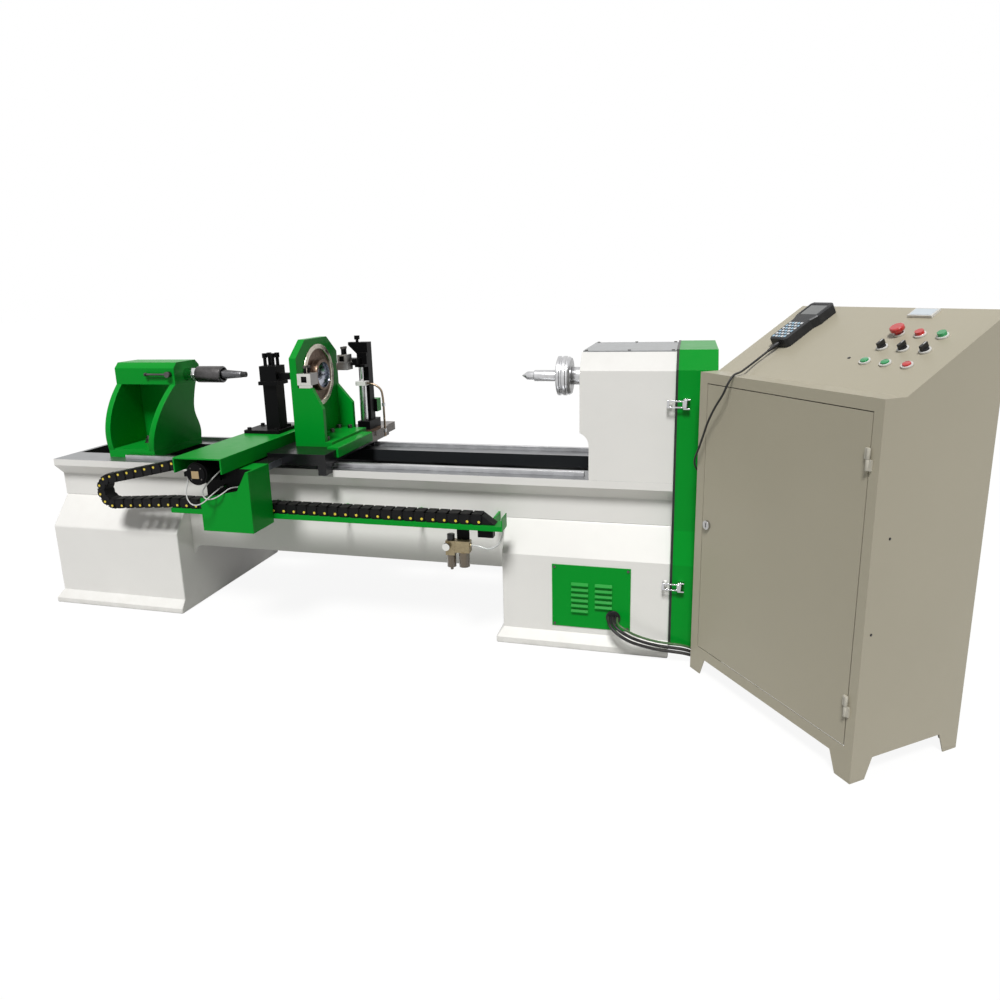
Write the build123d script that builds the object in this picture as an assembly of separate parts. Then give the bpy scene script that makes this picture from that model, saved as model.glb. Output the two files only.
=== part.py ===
from build123d import *
import math
import os

os.makedirs("parts", exist_ok=True)

# Frame: X along the spindle, +X to the headstock, +Y to the rear, +Z up, floor at Z 0.
spindle_height = 1040.0
way_top = 678.0
bed_left = -2455.0
bed_right = 335.0

# Fits
slide_gap = 0.3
turn_fit = 0.05

# Bed section
bed_half = 276.0
web_half = 230.0
lip_height = 30.0
groove_height = 47.0
way_gap_half = 128.0
way_inner_height = 53.0
web_wall = 22.0
web_bottom = 287.0
web_gusset = 42.0
rib_pitch = 335.0
rib_wall = 20.0
rib_height = 30.0

# Legs
leg_top = 500.0
shoulder_height = 128.0
leg_wall = 20.0
plinth_reach = 25.0
plinth_edge = 24.0
plinth_height = 60.0
tail_leg_length = 665.0
tail_leg_front = 333.0
tail_leg_rear = 437.0
base_left = -315.0
base_front = 300.0
base_rear = 437.0

# Rails and feed rack
rail_left = -2100.0
rail_right = 0.0
rail_half = 215.0
rail_width = 20.0
rail_height = 18.0
shoe_height = 30.0
shoe_length = 80.0
shoe_width = 44.0
gear_module = 4.0
pinion_teeth = 20
rack_start = -1720.0
rack_teeth = 116
rack_back = 8.0
rack_face = 22.0
tooth_slack = 1.2

# Headstock
housing_left = -10.0
housing_rise = 114.0
housing_bevel = 65.0
bevel_height = 63.0
housing_wall = 18.0
undercut = 34.0
undercut_radius = 50.0
undercut_top = 180.0
lid_thickness = 4.0

# Spindle line
front_bearing_od = 110.0
front_bearing_id = 60.0
front_bearing_width = 30.0
rear_bearing_od = 100.0
rear_bearing_id = 55.0
rear_bearing_width = 24.0
hub_diameter = 72.0
hub_length = 60.0
faceplate_diameter = 160.0
faceplate_width = 58.0
center_diameter = 46.0
center_length = 98.0
center_nose = 50.0
pulley_bore = 45.0
spindle_pulley_diameter = 170.0
motor_pulley_diameter = 120.0
pulley_width = 60.0
belt_width = 50.0
belt_thickness = 6.0
pulley_offset = 35.0

# Main motor
motor_height = 230.0
motor_diameter = 200.0
motor_length = 260.0
motor_flange = 250.0
motor_flange_thickness = 14.0
motor_shaft = 38.0

# End cover and latches
cover_depth = 143.0
cover_wall = 3.0
cover_reach = 8.0
cover_bottom = 47.0
cover_flange = 24.0
upper_latch_height = 976.0
lower_latch_height = 292.0
latch_pin = 6.0
latch_length = 66.0

# Vent panel on the headstock base
vent_left = -114.0
vent_width = 304.0
vent_low = 86.0
vent_height = 256.0
vent_sheet = 3.0
louvre_rows = 6
louvre_depth = 9.0
louvre_length = 66.0
louvre_height = 12.0
louvre_first = 76.0
louvre_step = 92.0
louvre_low = 64.0
louvre_pitch = 22.0
cable_exit_x = 125.0
cable_exit_height = 140.0
grommet_radius = 28.0

# Tailstock
tail_left = -2210.0
tail_length = 245.0
tail_half = 195.0
tail_rear_half = 150.0
tail_base_height = 40.0
tail_plate = 28.0
tail_lean = 75.0
tail_web_y = 28.0
tail_box_half = 92.0
tail_box_top = 62.0
tail_box_low = 37.0
tail_box_chamfer = 25.0
tail_bulge = 10.0
quill_diameter = 60.0
quill_reach = 40.0
quill_length = 330.0
nut_diameter = 70.0
nut_length = 21.0
live_body_diameter = 76.0
live_body_length = 134.0
live_rim = 30.0
live_recess = 12.0
live_taper_length = 95.0
live_taper_start = 23.0
live_taper_end = 14.5
live_tip_length = 22.0
live_shank = 8.0
clamp_bolt = 20.0

# Saddle and cross slide
saddle_left = -1520.0
saddle_split = -1298.0
saddle_right = -1035.0
saddle_half = 335.0
saddle_thick = 47.0
saddle_step = 20.0
gib_length = 36.0
gib_drop = 40.0
cross_left = -1512.0
cross_width = 210.0
cross_front = -645.0
cross_rear = 60.0
cross_top = 800.0
cross_sheet = 6.0
cross_skirt = 60.0
cross_bed_front = -540.0
cross_bed_rear = 150.0
cross_bed_inset = 27.0
cross_motor_x = -1424.0
cross_motor_size = 90.0
cross_motor_length = 88.0
cross_motor_drop = 59.0

# Front tool post
post_x = -1382.0
post_y = -100.0
post_column = 65.0
post_flange = 92.0
post_head = 79.0
post_plate_length = 170.0
post_plate_width = 140.0
post_plate_thick = 15.0
post_flange_drop = 30.0
post_head_height = 66.0
post_bolt_offset = 19.0

# Steady rest
steady_left = -1245.0
steady_thick = 32.0
steady_half = 190.0
steady_top = 162.0
steady_chamfer_y = 90.0
steady_chamfer_z = 72.0
steady_bore = 262.0
steady_lip = 6.0
steady_ring_bore = 112.0
steady_recess = 232.0
ring_recess = 7.0
steady_sleeve = 140.0
sleeve_reach = 20.0
gusset_thick = 22.0
gusset_length = 108.0
gusset_drop = 35.0
gusset_slope = 88.0
steady_base_right = -1075.0
steady_base_thick = 20.0
steady_base_rear = 160.0
steady_bar_reach = 10.0
steady_bar_thick = 9.0
steady_bar_drop = 33.0
steady_bar_front = -235.0
steady_bar_rear = 115.0
holder_length = 63.0
holder_width = 64.0
holder_neck = 52.0
holder_lift = 12.0
holder_height = 49.0
tool_slot = 25.0

# Rear tool unit
rear_bed_left = -1200.0
rear_bed_right = -1070.0
rear_bed_rear = 500.0
rear_bed_drop = 12.0
rear_bed_height = 41.0
rear_plate_thick = 40.0
column_right = -1085.0
column_width = 50.0
column_y = 250.0
column_depth = 50.0
column_rise = 123.0
bracket_drop = 66.0
rear_foot_reach = 85.0
switch_box_length = 45.0
switch_box_height = 62.0
switch_box_lift = 32.0
cylinder_diameter = 37.0
cylinder_drop = 75.0
cylinder_base = 12.0
bracket_reach = 52.0
rod_diameter = 16.0
lift_foot_rise = 10.0
lift_travel = 55.0
lift_plate_height = 65.0
tool_front = 130.0
tool_block_length = 56.0
tool_block_width = 60.0
tool_block_rise = 5.0
tool_step = 33.0
tool_block_height = 70.0

# Apron
apron_left = -1458.0
apron_right = -1235.0
apron_front = -580.0
apron_back = -432.0
apron_bottom = 490.0
apron_sheet = 4.0
notch_drop = 112.0
notch_rise = 36.0
notch_reach = 134.0
notch_flare = 44.0

# Chain tray and drag chain
tray_left = -1724.0
tray_right = -278.0
tray_front = -428.0
tray_rear = -355.0
tray_floor = 523.0
tray_sheet = 3.0
tray_lip_low = 19.0
tray_stop = 34.0
arm_inset = 60.0
arm_drop = 70.0
chain_pitch = 45.0
chain_width = 57.0
chain_height = 40.0
chain_front = -420.0
chain_right = -360.0
chain_left = -1512.0
chain_bend = 57.0
chain_sag_length = 285.0
chain_sag = 3.8
chain_climb = 12.0

# Air unit below the tray
air_x = -494.0
air_y = -390.0
air_top = 448.0
air_body = 36.0
air_knob_diameter = 30.0

# Control cabinet, placed by its front left corner
cabinet_x = 417.4
cabinet_y = -371.9
cabinet_turn = -53.38
cabinet_width = 735.0
cabinet_depth = 427.0
cabinet_height = 1100.0
cabinet_ledge = 75.0
panel_slope = 30.2
cabinet_sheet = 3.0
cabinet_foot = 55.0
foot_taper = 24.0
cabinet_notch = 65.0
cabinet_floor = 118.0
door_left = 41.0
door_margin = 33.0
door_low = 105.0
door_high = 1062.0
door_gap = 3.0
door_depth = 20.0
hinge_pin = 5.0
hinge_heights = (230.0, 940.0)
lock_x = 68.0
lock_height = 575.0
lock_diameter = 24.0
button_bore = 22.0
button_margin = 97.0
button_pitch = 68.5
button_row = 125.0
selector_row = 197.0
lamp_row = 268.0
meter_row = 375.0
meter_width = 80.0
meter_height = 40.0
bezel_diameter = 32.0
bezel_height = 6.0
pendant_x = 133.0
pendant_low = 158.0
pendant_length = 222.0
pendant_width = 97.0
pendant_grip = 76.0
pendant_thick = 35.0
gear_margin = 70.0
gear_low = 260.0
gear_drop = 140.0

# Cords
power_diameter = 12.0
earth_diameter = 9.0
pendant_cord_diameter = 7.0
hose_diameter = 8.0
lead_diameter = 5.0
cable_spacing = 21.0


def block(x0, x1, y0, y1, z0, z1):
    return Pos((x0 + x1) / 2, (y0 + y1) / 2, (z0 + z1) / 2) * Box(x1 - x0, y1 - y0, z1 - z0)


def rod_x(x0, x1, y, z, radius):
    return Pos((x0 + x1) / 2, y, z) * Rot(0, 90, 0) * Cylinder(radius, x1 - x0)


def rod_y(x, y0, y1, z, radius):
    return Pos(x, (y0 + y1) / 2, z) * Rot(90, 0, 0) * Cylinder(radius, y1 - y0)


def rod_z(x, y, z0, z1, radius):
    return Pos(x, y, (z0 + z1) / 2) * Cylinder(radius, z1 - z0)


def prism_x(points, x0, x1):
    return extrude(Plane.YZ.offset(x0) * make_face(Polyline(*points, close=True)), amount=x1 - x0)


def prism_y(points, y0, y1):
    return extrude(Plane.XZ.offset(-y1) * make_face(Polyline(*points, close=True)), amount=y1 - y0)


def prism_z(points, z0, z1):
    return extrude(Plane.XY.offset(z0) * make_face(Polyline(*points, close=True)), amount=z1 - z0)


def turned_x(outline, y, z):
    first = (outline[0][0], 0)
    last = (outline[-1][0], 0)
    face = make_face(Polyline(first, *outline, last, close=True))
    return Pos(0, y, z) * revolve(Plane.XZ * face, Axis.X)


def joined(shapes):
    return Part() + list(shapes)


def flipped(shape):
    return mirror(shape, about=Plane.XZ)


def save(name, shape):
    export_step(shape, f"parts/{name}.step")


def tube(name, points, diameter):
    runs = []
    for start, end in zip(points, points[1:]):
        runs.append(Vector(*end) - Vector(*start))
    radii = []
    for before, after in zip(runs, runs[1:]):
        turn = math.radians(before.get_angle(after))
        radii.append(0.45 * min(before.length, after.length) / math.tan(turn / 2))
    path = FilletPolyline(*points, radius=radii)
    section = Plane(origin=path @ 0, z_dir=path % 0) * Circle(diameter / 2)
    solid = sweep(section, path=path)
    full = math.pi * diameter**2 / 4 * path.length
    print(name, "length", round(path.length), "radii", [round(r) for r in radii])
    print(name, "volume share", round(solid.volume / full, 3))
    return solid


# Levels shared by the pieces
shoe_top = way_top + shoe_height
saddle_top = shoe_top + saddle_thick
saddle_low_top = saddle_top - saddle_step
lip_bottom = way_top - lip_height
groove_bottom = lip_bottom - groove_height
housing_top = spindle_height + housing_rise
bevel_low = housing_top - bevel_height
shoulder_low = leg_top - shoulder_height
rib_top = leg_top + rib_height


# Bed: two mirrored way sections joined by cross ribs
flange_low = way_top - way_inner_height
half_section = [
    (-bed_half, way_top),
    (-bed_half, lip_bottom),
    (-web_half, groove_bottom),
    (-web_half, web_bottom),
    (-web_half + web_wall, web_bottom),
    (-web_half + web_wall, flange_low - 40),
    (-way_gap_half, flange_low),
    (-way_gap_half, way_top),
]
tail_leg_right = bed_left + tail_leg_length
bed_side = prism_x(half_section, bed_left, bed_right)
bed_side -= block(bed_left, tail_leg_right, -bed_half, 0, web_bottom, leg_top)
bed_side -= block(base_left, bed_right, -bed_half, 0, web_bottom, leg_top)
gusset_right = tail_leg_right + web_gusset
gusset_low = web_bottom - web_gusset
gusset = block(tail_leg_right, gusset_right, -web_half, -web_half + web_wall, gusset_low, web_bottom)
gusset -= rod_y(gusset_right, -web_half - 1, -web_half + web_wall + 1, gusset_low, web_gusset - 2)
bed_side += gusset
ribs = []
rib_half = web_half - web_wall
rib_count = int((bed_right - bed_left - rib_wall) // rib_pitch) + 1
for index in range(rib_count):
    rib_x = bed_left + index * rib_pitch
    rib_low = leg_top
    if tail_leg_right < rib_x and rib_x + rib_wall < base_left:
        rib_low = web_bottom
    ribs.append(block(rib_x, rib_x + rib_wall, -rib_half, rib_half, rib_low, rib_top))
end_section = [
    (-rib_half, rib_top),
    (-rib_half, flange_low - 40),
    (-way_gap_half, flange_low),
    (-way_gap_half, way_top),
    (way_gap_half, way_top),
    (way_gap_half, flange_low),
    (rib_half, flange_low - 40),
    (rib_half, rib_top),
]
ribs.append(prism_x(end_section, bed_left, bed_left + rib_wall))
bed = bed_side + flipped(bed_side) + ribs
save("bed", bed)


# Legs: hollow castings with a sloped shoulder and a proud plinth
def leg_outline(front, rear, inset, low, top_inset):
    return [
        (-front + inset, low),
        (-front + inset, shoulder_low - top_inset / 2),
        (-web_half + top_inset / 2, leg_top - top_inset),
        (web_half - top_inset / 2, leg_top - top_inset),
        (rear - inset, shoulder_low - top_inset / 2),
        (rear - inset, low),
    ]


def plinth(x0, x1, front, rear, right_reach):
    x0_low = x0 - plinth_reach
    x1_low = x1 + right_reach
    y0_low = -front - plinth_reach
    y1_low = rear + plinth_reach
    wide = Pos((x0_low + x1_low) / 2, (y0_low + y1_low) / 2, plinth_edge)
    narrow = Pos((x0 + x1) / 2, (rear - front) / 2, plinth_height)
    low_face = wide * Rectangle(x1_low - x0_low, y1_low - y0_low)
    high_face = narrow * Rectangle(x1 - x0, front + rear)
    return block(x0_low, x1_low, y0_low, y1_low, 0, plinth_edge) + loft([low_face, high_face])


def leg(x0, x1, front, rear, right_reach):
    shell = prism_x(leg_outline(front, rear, 0, 0, 0), x0, x1) + plinth(x0, x1, front, rear, right_reach)
    hollow = leg_outline(front, rear, leg_wall, 0, leg_wall)
    return shell - prism_x(hollow, x0 + leg_wall, x1 - leg_wall)


tail_leg = leg(bed_left, tail_leg_right, tail_leg_front, tail_leg_rear, 0)
save("tail_leg", tail_leg)

vent_right = vent_left + vent_width
vent_high = vent_low + vent_height
vent_rim = 20.0
base = leg(base_left, bed_right, base_front, base_rear, 0)
base -= block(
    vent_left + vent_rim,
    vent_right - vent_rim,
    -base_front - 1,
    -base_front + leg_wall + 1,
    vent_low + vent_rim,
    vent_high - vent_rim,
)
motor_spigot = motor_shaft + 92
base -= rod_x(bed_right - leg_wall - 1, bed_right + 1, 0, motor_height, motor_spigot / 2)


def keeper(front, height):
    return block(bed_right - 21, bed_right - 11, -front - 11, -front, height - 11, height + 11)


sill_half = 20.0
base += block(-sill_half, sill_half, -base_front + leg_wall - 1, base_rear - leg_wall + 1, 0, sill_half)
base += keeper(base_front, lower_latch_height)
save("headstock_base", base)

# Linear rails and the feed rack on the front way
rails = []
for side in (-1, 1):
    rail_y = side * rail_half
    rails.append(
        block(
            rail_left,
            rail_right,
            rail_y - rail_width / 2,
            rail_y + rail_width / 2,
            way_top,
            way_top + rail_height,
        )
    )
save("linear_rails", joined(rails))

tooth_pitch = math.pi * gear_module
addendum = 0.8 * gear_module
dedendum = 1.1 * gear_module
pinion_radius = gear_module * pinion_teeth / 2
rack_root_y = -way_gap_half + rack_back
rack_pitch_y = rack_root_y + dedendum
rack_tip_y = rack_pitch_y + addendum
rack_length = rack_teeth * tooth_pitch
rack_low = way_top - 40
tooth_foot = tooth_pitch / 2 - tooth_slack + 2.4
tooth_tip = tooth_pitch / 2 - tooth_slack - 2.4
rack_points = [(rack_start, -way_gap_half), (rack_start, rack_root_y)]
for index in range(rack_teeth):
    middle = rack_start + (index + 0.5) * tooth_pitch
    rack_points.append((middle - tooth_foot / 2, rack_root_y))
    rack_points.append((middle - tooth_tip / 2, rack_tip_y))
    rack_points.append((middle + tooth_tip / 2, rack_tip_y))
    rack_points.append((middle + tooth_foot / 2, rack_root_y))
rack_points.append((rack_start + rack_length, rack_root_y))
rack_points.append((rack_start + rack_length, -way_gap_half))
save("gear_rack", prism_z(rack_points, rack_low, rack_low + rack_face))


# Headstock housing with an undercut foot and two bearing walls
front_bearing_x = housing_left + 18
rear_wall = rear_bearing_width + 6
cavity_left = housing_left + undercut + housing_wall
cavity_right = bed_right - rear_wall
rear_bearing_x = cavity_right + 2


def housing_outline(inset):
    return [
        (-bed_half + inset, way_top),
        (-bed_half + inset, bevel_low - inset / 2),
        (-bed_half + housing_bevel + inset / 2, housing_top - inset),
        (bed_half - housing_bevel - inset / 2, housing_top - inset),
        (bed_half - inset, bevel_low - inset / 2),
        (bed_half - inset, way_top),
    ]


housing = prism_x(housing_outline(0), housing_left, bed_right)
housing -= prism_x(housing_outline(housing_wall), cavity_left, cavity_right)
undercut_z = way_top + undercut_top
arc_center_x = housing_left + undercut - undercut_radius
arc_rise = math.sqrt(undercut_radius**2 - (undercut_radius - undercut) ** 2)
arc_center_z = undercut_z - arc_rise
undercut_box = block(housing_left - 1, housing_left + undercut, -bed_half, bed_half, way_top, arc_center_z)
undercut_arc = rod_y(arc_center_x, -bed_half, bed_half, arc_center_z, undercut_radius)
undercut_arc &= block(housing_left - 1, bed_right, -bed_half, bed_half, way_top, housing_top)
housing -= undercut_box + undercut_arc
lid_half = bed_half - housing_bevel - 3
lid_left = housing_left + 3
lid_right = bed_right - 2
lid_rim = 24.0
housing -= block(
    cavity_left,
    lid_right - lid_rim,
    -lid_half + lid_rim,
    lid_half - lid_rim,
    housing_top - housing_wall - 1,
    housing_top + 1,
)
housing -= rod_x(housing_left - 1, cavity_left + 1, 0, spindle_height, front_bearing_od / 2)
housing -= rod_x(cavity_right - 1, bed_right + 1, 0, spindle_height, rear_bearing_od / 2)
housing += keeper(bed_half, upper_latch_height)
save("headstock_housing", housing)

lid = block(lid_left, lid_right, -lid_half, lid_half, housing_top, housing_top + lid_thickness)
lid = fillet(lid.edges().filter_by(Axis.Z), 10)
for screw_x in (lid_left + 12, (lid_left + lid_right) / 2, lid_right - 12):
    for screw_y in (-lid_half + 12, lid_half - 12):
        lid += rod_z(screw_x, screw_y, housing_top + lid_thickness, housing_top + lid_thickness + 3, 6)
save("headstock_lid", lid)


def bearing(x0, width, outer, inner):
    ring = rod_x(x0, x0 + width, 0, spindle_height, outer / 2)
    return ring - rod_x(x0 - 1, x0 + width + 1, 0, spindle_height, inner / 2 + turn_fit)


front_ring = bearing(front_bearing_x, front_bearing_width, front_bearing_od, front_bearing_id)
rear_ring = bearing(rear_bearing_x, rear_bearing_width, rear_bearing_od, rear_bearing_id)
save("spindle_bearings", joined([front_ring, rear_ring]))

# Spindle line
hub_right = housing_left - 10
hub_left = hub_right - hub_length
plate_left = hub_left - faceplate_width
nose = 40.0
shoulder_x = front_bearing_x + front_bearing_width + slide_gap
rear_shoulder_x = rear_bearing_x - slide_gap
pulley_left = bed_right + pulley_offset
pulley_right = pulley_left + pulley_width
shaft_outline = [
    (hub_left - 26, nose / 2),
    (hub_left, nose / 2),
    (hub_left, hub_diameter / 2),
    (hub_right, hub_diameter / 2),
    (hub_right, front_bearing_id / 2),
    (shoulder_x, front_bearing_id / 2),
    (shoulder_x, front_bearing_id / 2 + 6),
    (rear_shoulder_x, front_bearing_id / 2 + 6),
    (rear_shoulder_x, rear_bearing_id / 2),
    (pulley_left, rear_bearing_id / 2),
    (pulley_left, pulley_bore / 2),
    (pulley_right + 12, pulley_bore / 2),
]
save("spindle_shaft", turned_x(shaft_outline, 0, spindle_height))

rim = faceplate_diameter / 2
plate_outline = [
    (plate_left, rim - 10),
    (plate_left + 4, rim),
    (plate_left + 14, rim),
    (plate_left + 17, rim - 4),
    (plate_left + 22, rim - 4),
    (plate_left + 25, rim),
    (plate_left + 38, rim),
    (plate_left + 41, rim - 4),
    (plate_left + 46, rim - 4),
    (plate_left + 48, rim - 2),
    (hub_left, rim - 8),
]
faceplate = turned_x(plate_outline, 0, spindle_height)
faceplate -= rod_x(plate_left - 1, hub_left + 1, 0, spindle_height, nose / 2 + turn_fit)
save("faceplate", faceplate)

center_left = plate_left - center_length
center_outline = [
    (center_left - center_nose, 1.5),
    (center_left - center_nose + 22, 17),
    (center_left, 17),
    (center_left, center_diameter / 2 - 3),
    (center_left + 3, center_diameter / 2),
    (plate_left, center_diameter / 2),
    (plate_left, nose / 2 - 1),
    (plate_left + 24, nose / 2 - 1),
]
save("drive_center", turned_x(center_outline, 0, spindle_height))


def pulley(diameter, height, bore):
    radius = diameter / 2
    flank = (pulley_width - belt_width) / 2 - 1
    outline = [
        (pulley_left, radius + 5),
        (pulley_left + flank, radius + 5),
        (pulley_left + flank + 0.6, radius),
        (pulley_right - flank - 0.6, radius),
        (pulley_right - flank, radius + 5),
        (pulley_right, radius + 5),
    ]
    wheel = turned_x(outline, 0, height)
    return wheel - rod_x(pulley_left - 1, pulley_right + 1, 0, height, bore / 2)


save("spindle_pulley", pulley(spindle_pulley_diameter, spindle_height, pulley_bore + 2 * turn_fit))

# Main motor in the base and its belt
motor_right = bed_right - leg_wall
flange_left = motor_right - motor_flange_thickness
motor_left = flange_left - motor_length
motor_outline = [
    (motor_left, motor_diameter / 2 - 14),
    (motor_left + 14, motor_diameter / 2),
    (flange_left, motor_diameter / 2),
    (flange_left, motor_flange / 2),
    (motor_right, motor_flange / 2),
    (motor_right, motor_spigot / 2 - slide_gap),
    (motor_right + 6, motor_spigot / 2 - slide_gap),
]
motor = turned_x(motor_outline, 0, motor_height)
motor -= rod_x(flange_left - 20, motor_right + 7, 0, motor_height, motor_shaft / 2 + turn_fit)
fin_half = 6.0
fin_reach = motor_diameter / 2 + 10
fin_circle = motor_diameter / 2 - 2
for angle in range(0, 180, 30):
    fin = block(motor_left + 20, flange_left, -fin_half, fin_half, -fin_reach, fin_reach)
    motor += Pos(0, 0, motor_height) * Rot(angle, 0, 0) * fin - rod_x(
        motor_left, flange_left, 0, motor_height, fin_circle
    )
save("main_motor", motor)

shaft = rod_x(flange_left - 19, pulley_right + 6, 0, motor_height, motor_shaft / 2)
save("motor_pulley", pulley(motor_pulley_diameter, motor_height, motor_shaft - 2) + shaft)

belt_left = pulley_left + (pulley_width - belt_width) / 2


def belt_loop(extra):
    lower = Pos(0, motor_height) * Circle(motor_pulley_diameter / 2 + extra)
    upper = Pos(0, spindle_height) * Circle(spindle_pulley_diameter / 2 + extra)
    return make_hull(lower.edges() + upper.edges())


belt_face = belt_loop(slide_gap + belt_thickness) - belt_loop(slide_gap)
save("drive_belt", extrude(Plane.YZ.offset(belt_left) * belt_face, amount=belt_width))


# End cover over the drive, lifted off upward
def cover_outline(inset, low):
    upper = bed_half + cover_reach - inset
    lower = base_front + cover_reach - inset
    top = housing_top + cover_reach - inset
    return [
        (-lower, low),
        (-lower, shoulder_low),
        (-upper, leg_top),
        (-upper, bevel_low + cover_reach / 2),
        (-upper + housing_bevel, top),
        (upper - housing_bevel, top),
        (upper, bevel_low + cover_reach / 2),
        (upper, leg_top),
        (lower, shoulder_low),
        (lower, cover_bottom if low >= cover_bottom else low),
    ]


cover_right = bed_right + cover_depth
cover = prism_x(cover_outline(0, cover_bottom), bed_right, cover_right)
cover -= prism_x(cover_outline(cover_wall, 0), bed_right + cover_wall, cover_right - cover_wall)
cover -= prism_x(cover_outline(cover_flange, 0), bed_right - 1, bed_right + cover_wall + 1)
latch_x = bed_right + 37
latch_ear = 14.0


def latch_ears(front, height):
    pin_y = -front - 12
    ears = rod_z(latch_x, pin_y, height - latch_ear, height + latch_ear, latch_pin / 2)
    for low in (height - latch_ear - 5, height + latch_ear):
        ears += block(latch_x - 9, latch_x + 14, pin_y - 7, -front, low, low + 5)
    return ears


upper_front = bed_half + cover_reach
lower_front = base_front + cover_reach
cover += latch_ears(upper_front, upper_latch_height)
cover += latch_ears(lower_front, lower_latch_height)
save("end_cover", cover)


def latch(front, height):
    pin_y = -front - 12
    half = latch_ear - 0.5
    lever = rod_z(latch_x, pin_y, height - half, height + half, 8)
    bar_left = latch_x - latch_length
    lever += block(bar_left, latch_x, pin_y - 8, pin_y - 4, height - half, height + half)
    lever += block(bar_left, bar_left + 6, pin_y - 8, pin_y + 10, height - half, height + half)
    lever -= block(bar_left + 8, latch_x - 12, pin_y - 9, pin_y - 3, height - half + 5, height + half - 5)
    return lever - rod_z(latch_x, pin_y, height - half - 1, height + half + 1, latch_pin / 2 + slide_gap)


save("latch_upper", latch(upper_front, upper_latch_height))
save("latch_lower", latch(lower_front, lower_latch_height))

# Vent panel with two columns of louvres
vent_front = -base_front - vent_sheet
vent = block(vent_left, vent_right, vent_front, -base_front, vent_low, vent_high)
for column in range(2):
    louvre_x = vent_left + louvre_first + column * louvre_step
    for row in range(louvre_rows):
        low = vent_low + louvre_low + row * louvre_pitch
        beside = louvre_x + louvre_length < cable_exit_x - grommet_radius
        above = low - 2 > cable_exit_height + grommet_radius
        if not beside and not above:
            continue
        wedge = [
            (vent_front, low),
            (vent_front - louvre_depth, low),
            (vent_front - louvre_depth, low + 3),
            (vent_front, low + louvre_height),
        ]
        scoop = [
            (-base_front, low - 1),
            (vent_front - louvre_depth + 2, low - 1),
            (vent_front - louvre_depth + 2, low + 3),
            (-base_front, low + louvre_height - 4),
        ]
        vent += prism_x(wedge, louvre_x, louvre_x + louvre_length)
        vent -= prism_x(scoop, louvre_x + 2, louvre_x + louvre_length - 2)
for screw_x in (vent_left + 10, vent_right - 10):
    for screw_z in (vent_low + 10, vent_high - 10):
        vent += rod_y(screw_x, vent_front - 3, vent_front, screw_z, 5)
save("vent_panel", vent)


# Tailstock casting: two S-edged plates, a rear web and a bored box
tail_right = tail_left + tail_length
tail_floor = way_top + tail_base_height
box_low = spindle_height - tail_box_low
box_high = spindle_height + tail_box_top
box_right = tail_right + tail_lean
plate_rise = box_low - tail_floor


def tail_profile(x0, x1):
    front = [
        (-tail_half, tail_floor - 8),
        (-tail_half - tail_bulge, tail_floor + 0.2 * plate_rise),
        (-tail_half + 7, tail_floor + 0.5 * plate_rise),
        (-tail_box_half + 2, box_low + 2),
    ]
    rear = [
        (tail_rear_half, tail_floor - 8),
        (tail_rear_half - 33, tail_floor + 0.26 * plate_rise),
        (tail_rear_half - 78, tail_floor + 0.5 * plate_rise),
        (tail_rear_half - 92, tail_floor + 0.73 * plate_rise),
        (tail_rear_half - 92, box_low + 2),
    ]
    low = Line(front[0], rear[0])
    high = Line(front[-1], rear[-1])
    face = make_face([Spline(*front), Spline(*rear), low, high])
    return extrude(Plane.YZ.offset(x0) * face, amount=x1 - x0)


lean_slab = [
    (tail_right - tail_plate, tail_floor - 8),
    (tail_right, tail_floor - 8),
    (box_right, box_low + 2),
    (box_right - tail_plate, box_low + 2),
]
web_slab = [
    (tail_left + 4, tail_floor - 8),
    (tail_right - 4, tail_floor - 8),
    (box_right - 4, box_low + 2),
    (tail_left + 4, box_low + 2),
]
box_outline = [
    (-tail_box_half, box_low),
    (-tail_box_half, box_high - tail_box_chamfer),
    (-tail_box_half + tail_box_chamfer, box_high),
    (tail_box_half - tail_box_chamfer, box_high),
    (tail_box_half, box_high - tail_box_chamfer),
    (tail_box_half, box_low),
]
casting = block(tail_left, tail_right, -tail_half, tail_rear_half, way_top, tail_floor)
casting += tail_profile(tail_left, tail_left + tail_plate)
wide_profile = tail_profile(tail_right - tail_plate - 5, box_right + 5)
casting += wide_profile & prism_y(lean_slab, -2 * tail_half, 2 * tail_half)
casting += prism_y(web_slab, tail_web_y, tail_web_y + tail_plate)
casting += prism_x(box_outline, tail_left, box_right)
casting -= rod_x(tail_left - 1, box_right + 1, 0, spindle_height, quill_diameter / 2 + turn_fit)
clamp_x = tail_left + 96
clamp_y = -42.0
casting -= rod_z(clamp_x, clamp_y, way_top - 1, tail_floor + 1, clamp_bolt / 2 + 1)
lever_x = box_right - 25
lever_z = spindle_height + 10
lever_stud = 10.0
casting -= rod_y(lever_x, -tail_box_half - 1, -tail_box_half + 30, lever_z, lever_stud / 2 + slide_gap)
save("tailstock_casting", casting)

clamp_half = way_gap_half + 20
clamp_reach = 45.0
clamp_top = flange_low - 40 * (clamp_half - way_gap_half) / (rib_half - way_gap_half) - 0.4
clamp_low = clamp_top - 22
clamp = block(clamp_x - clamp_reach, clamp_x + clamp_reach, -clamp_half, clamp_half, clamp_low, clamp_top)
clamp += rod_z(clamp_x, clamp_y, clamp_top - 1, tail_floor + 32, clamp_bolt / 2)
clamp += rod_z(clamp_x, clamp_y, tail_floor, tail_floor + 4, clamp_bolt)
hexagon = Pos(clamp_x, clamp_y, tail_floor + 4) * RegularPolygon(clamp_bolt * 0.8, 6)
clamp += extrude(hexagon, amount=16)
save("tailstock_clamp", clamp)

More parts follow.
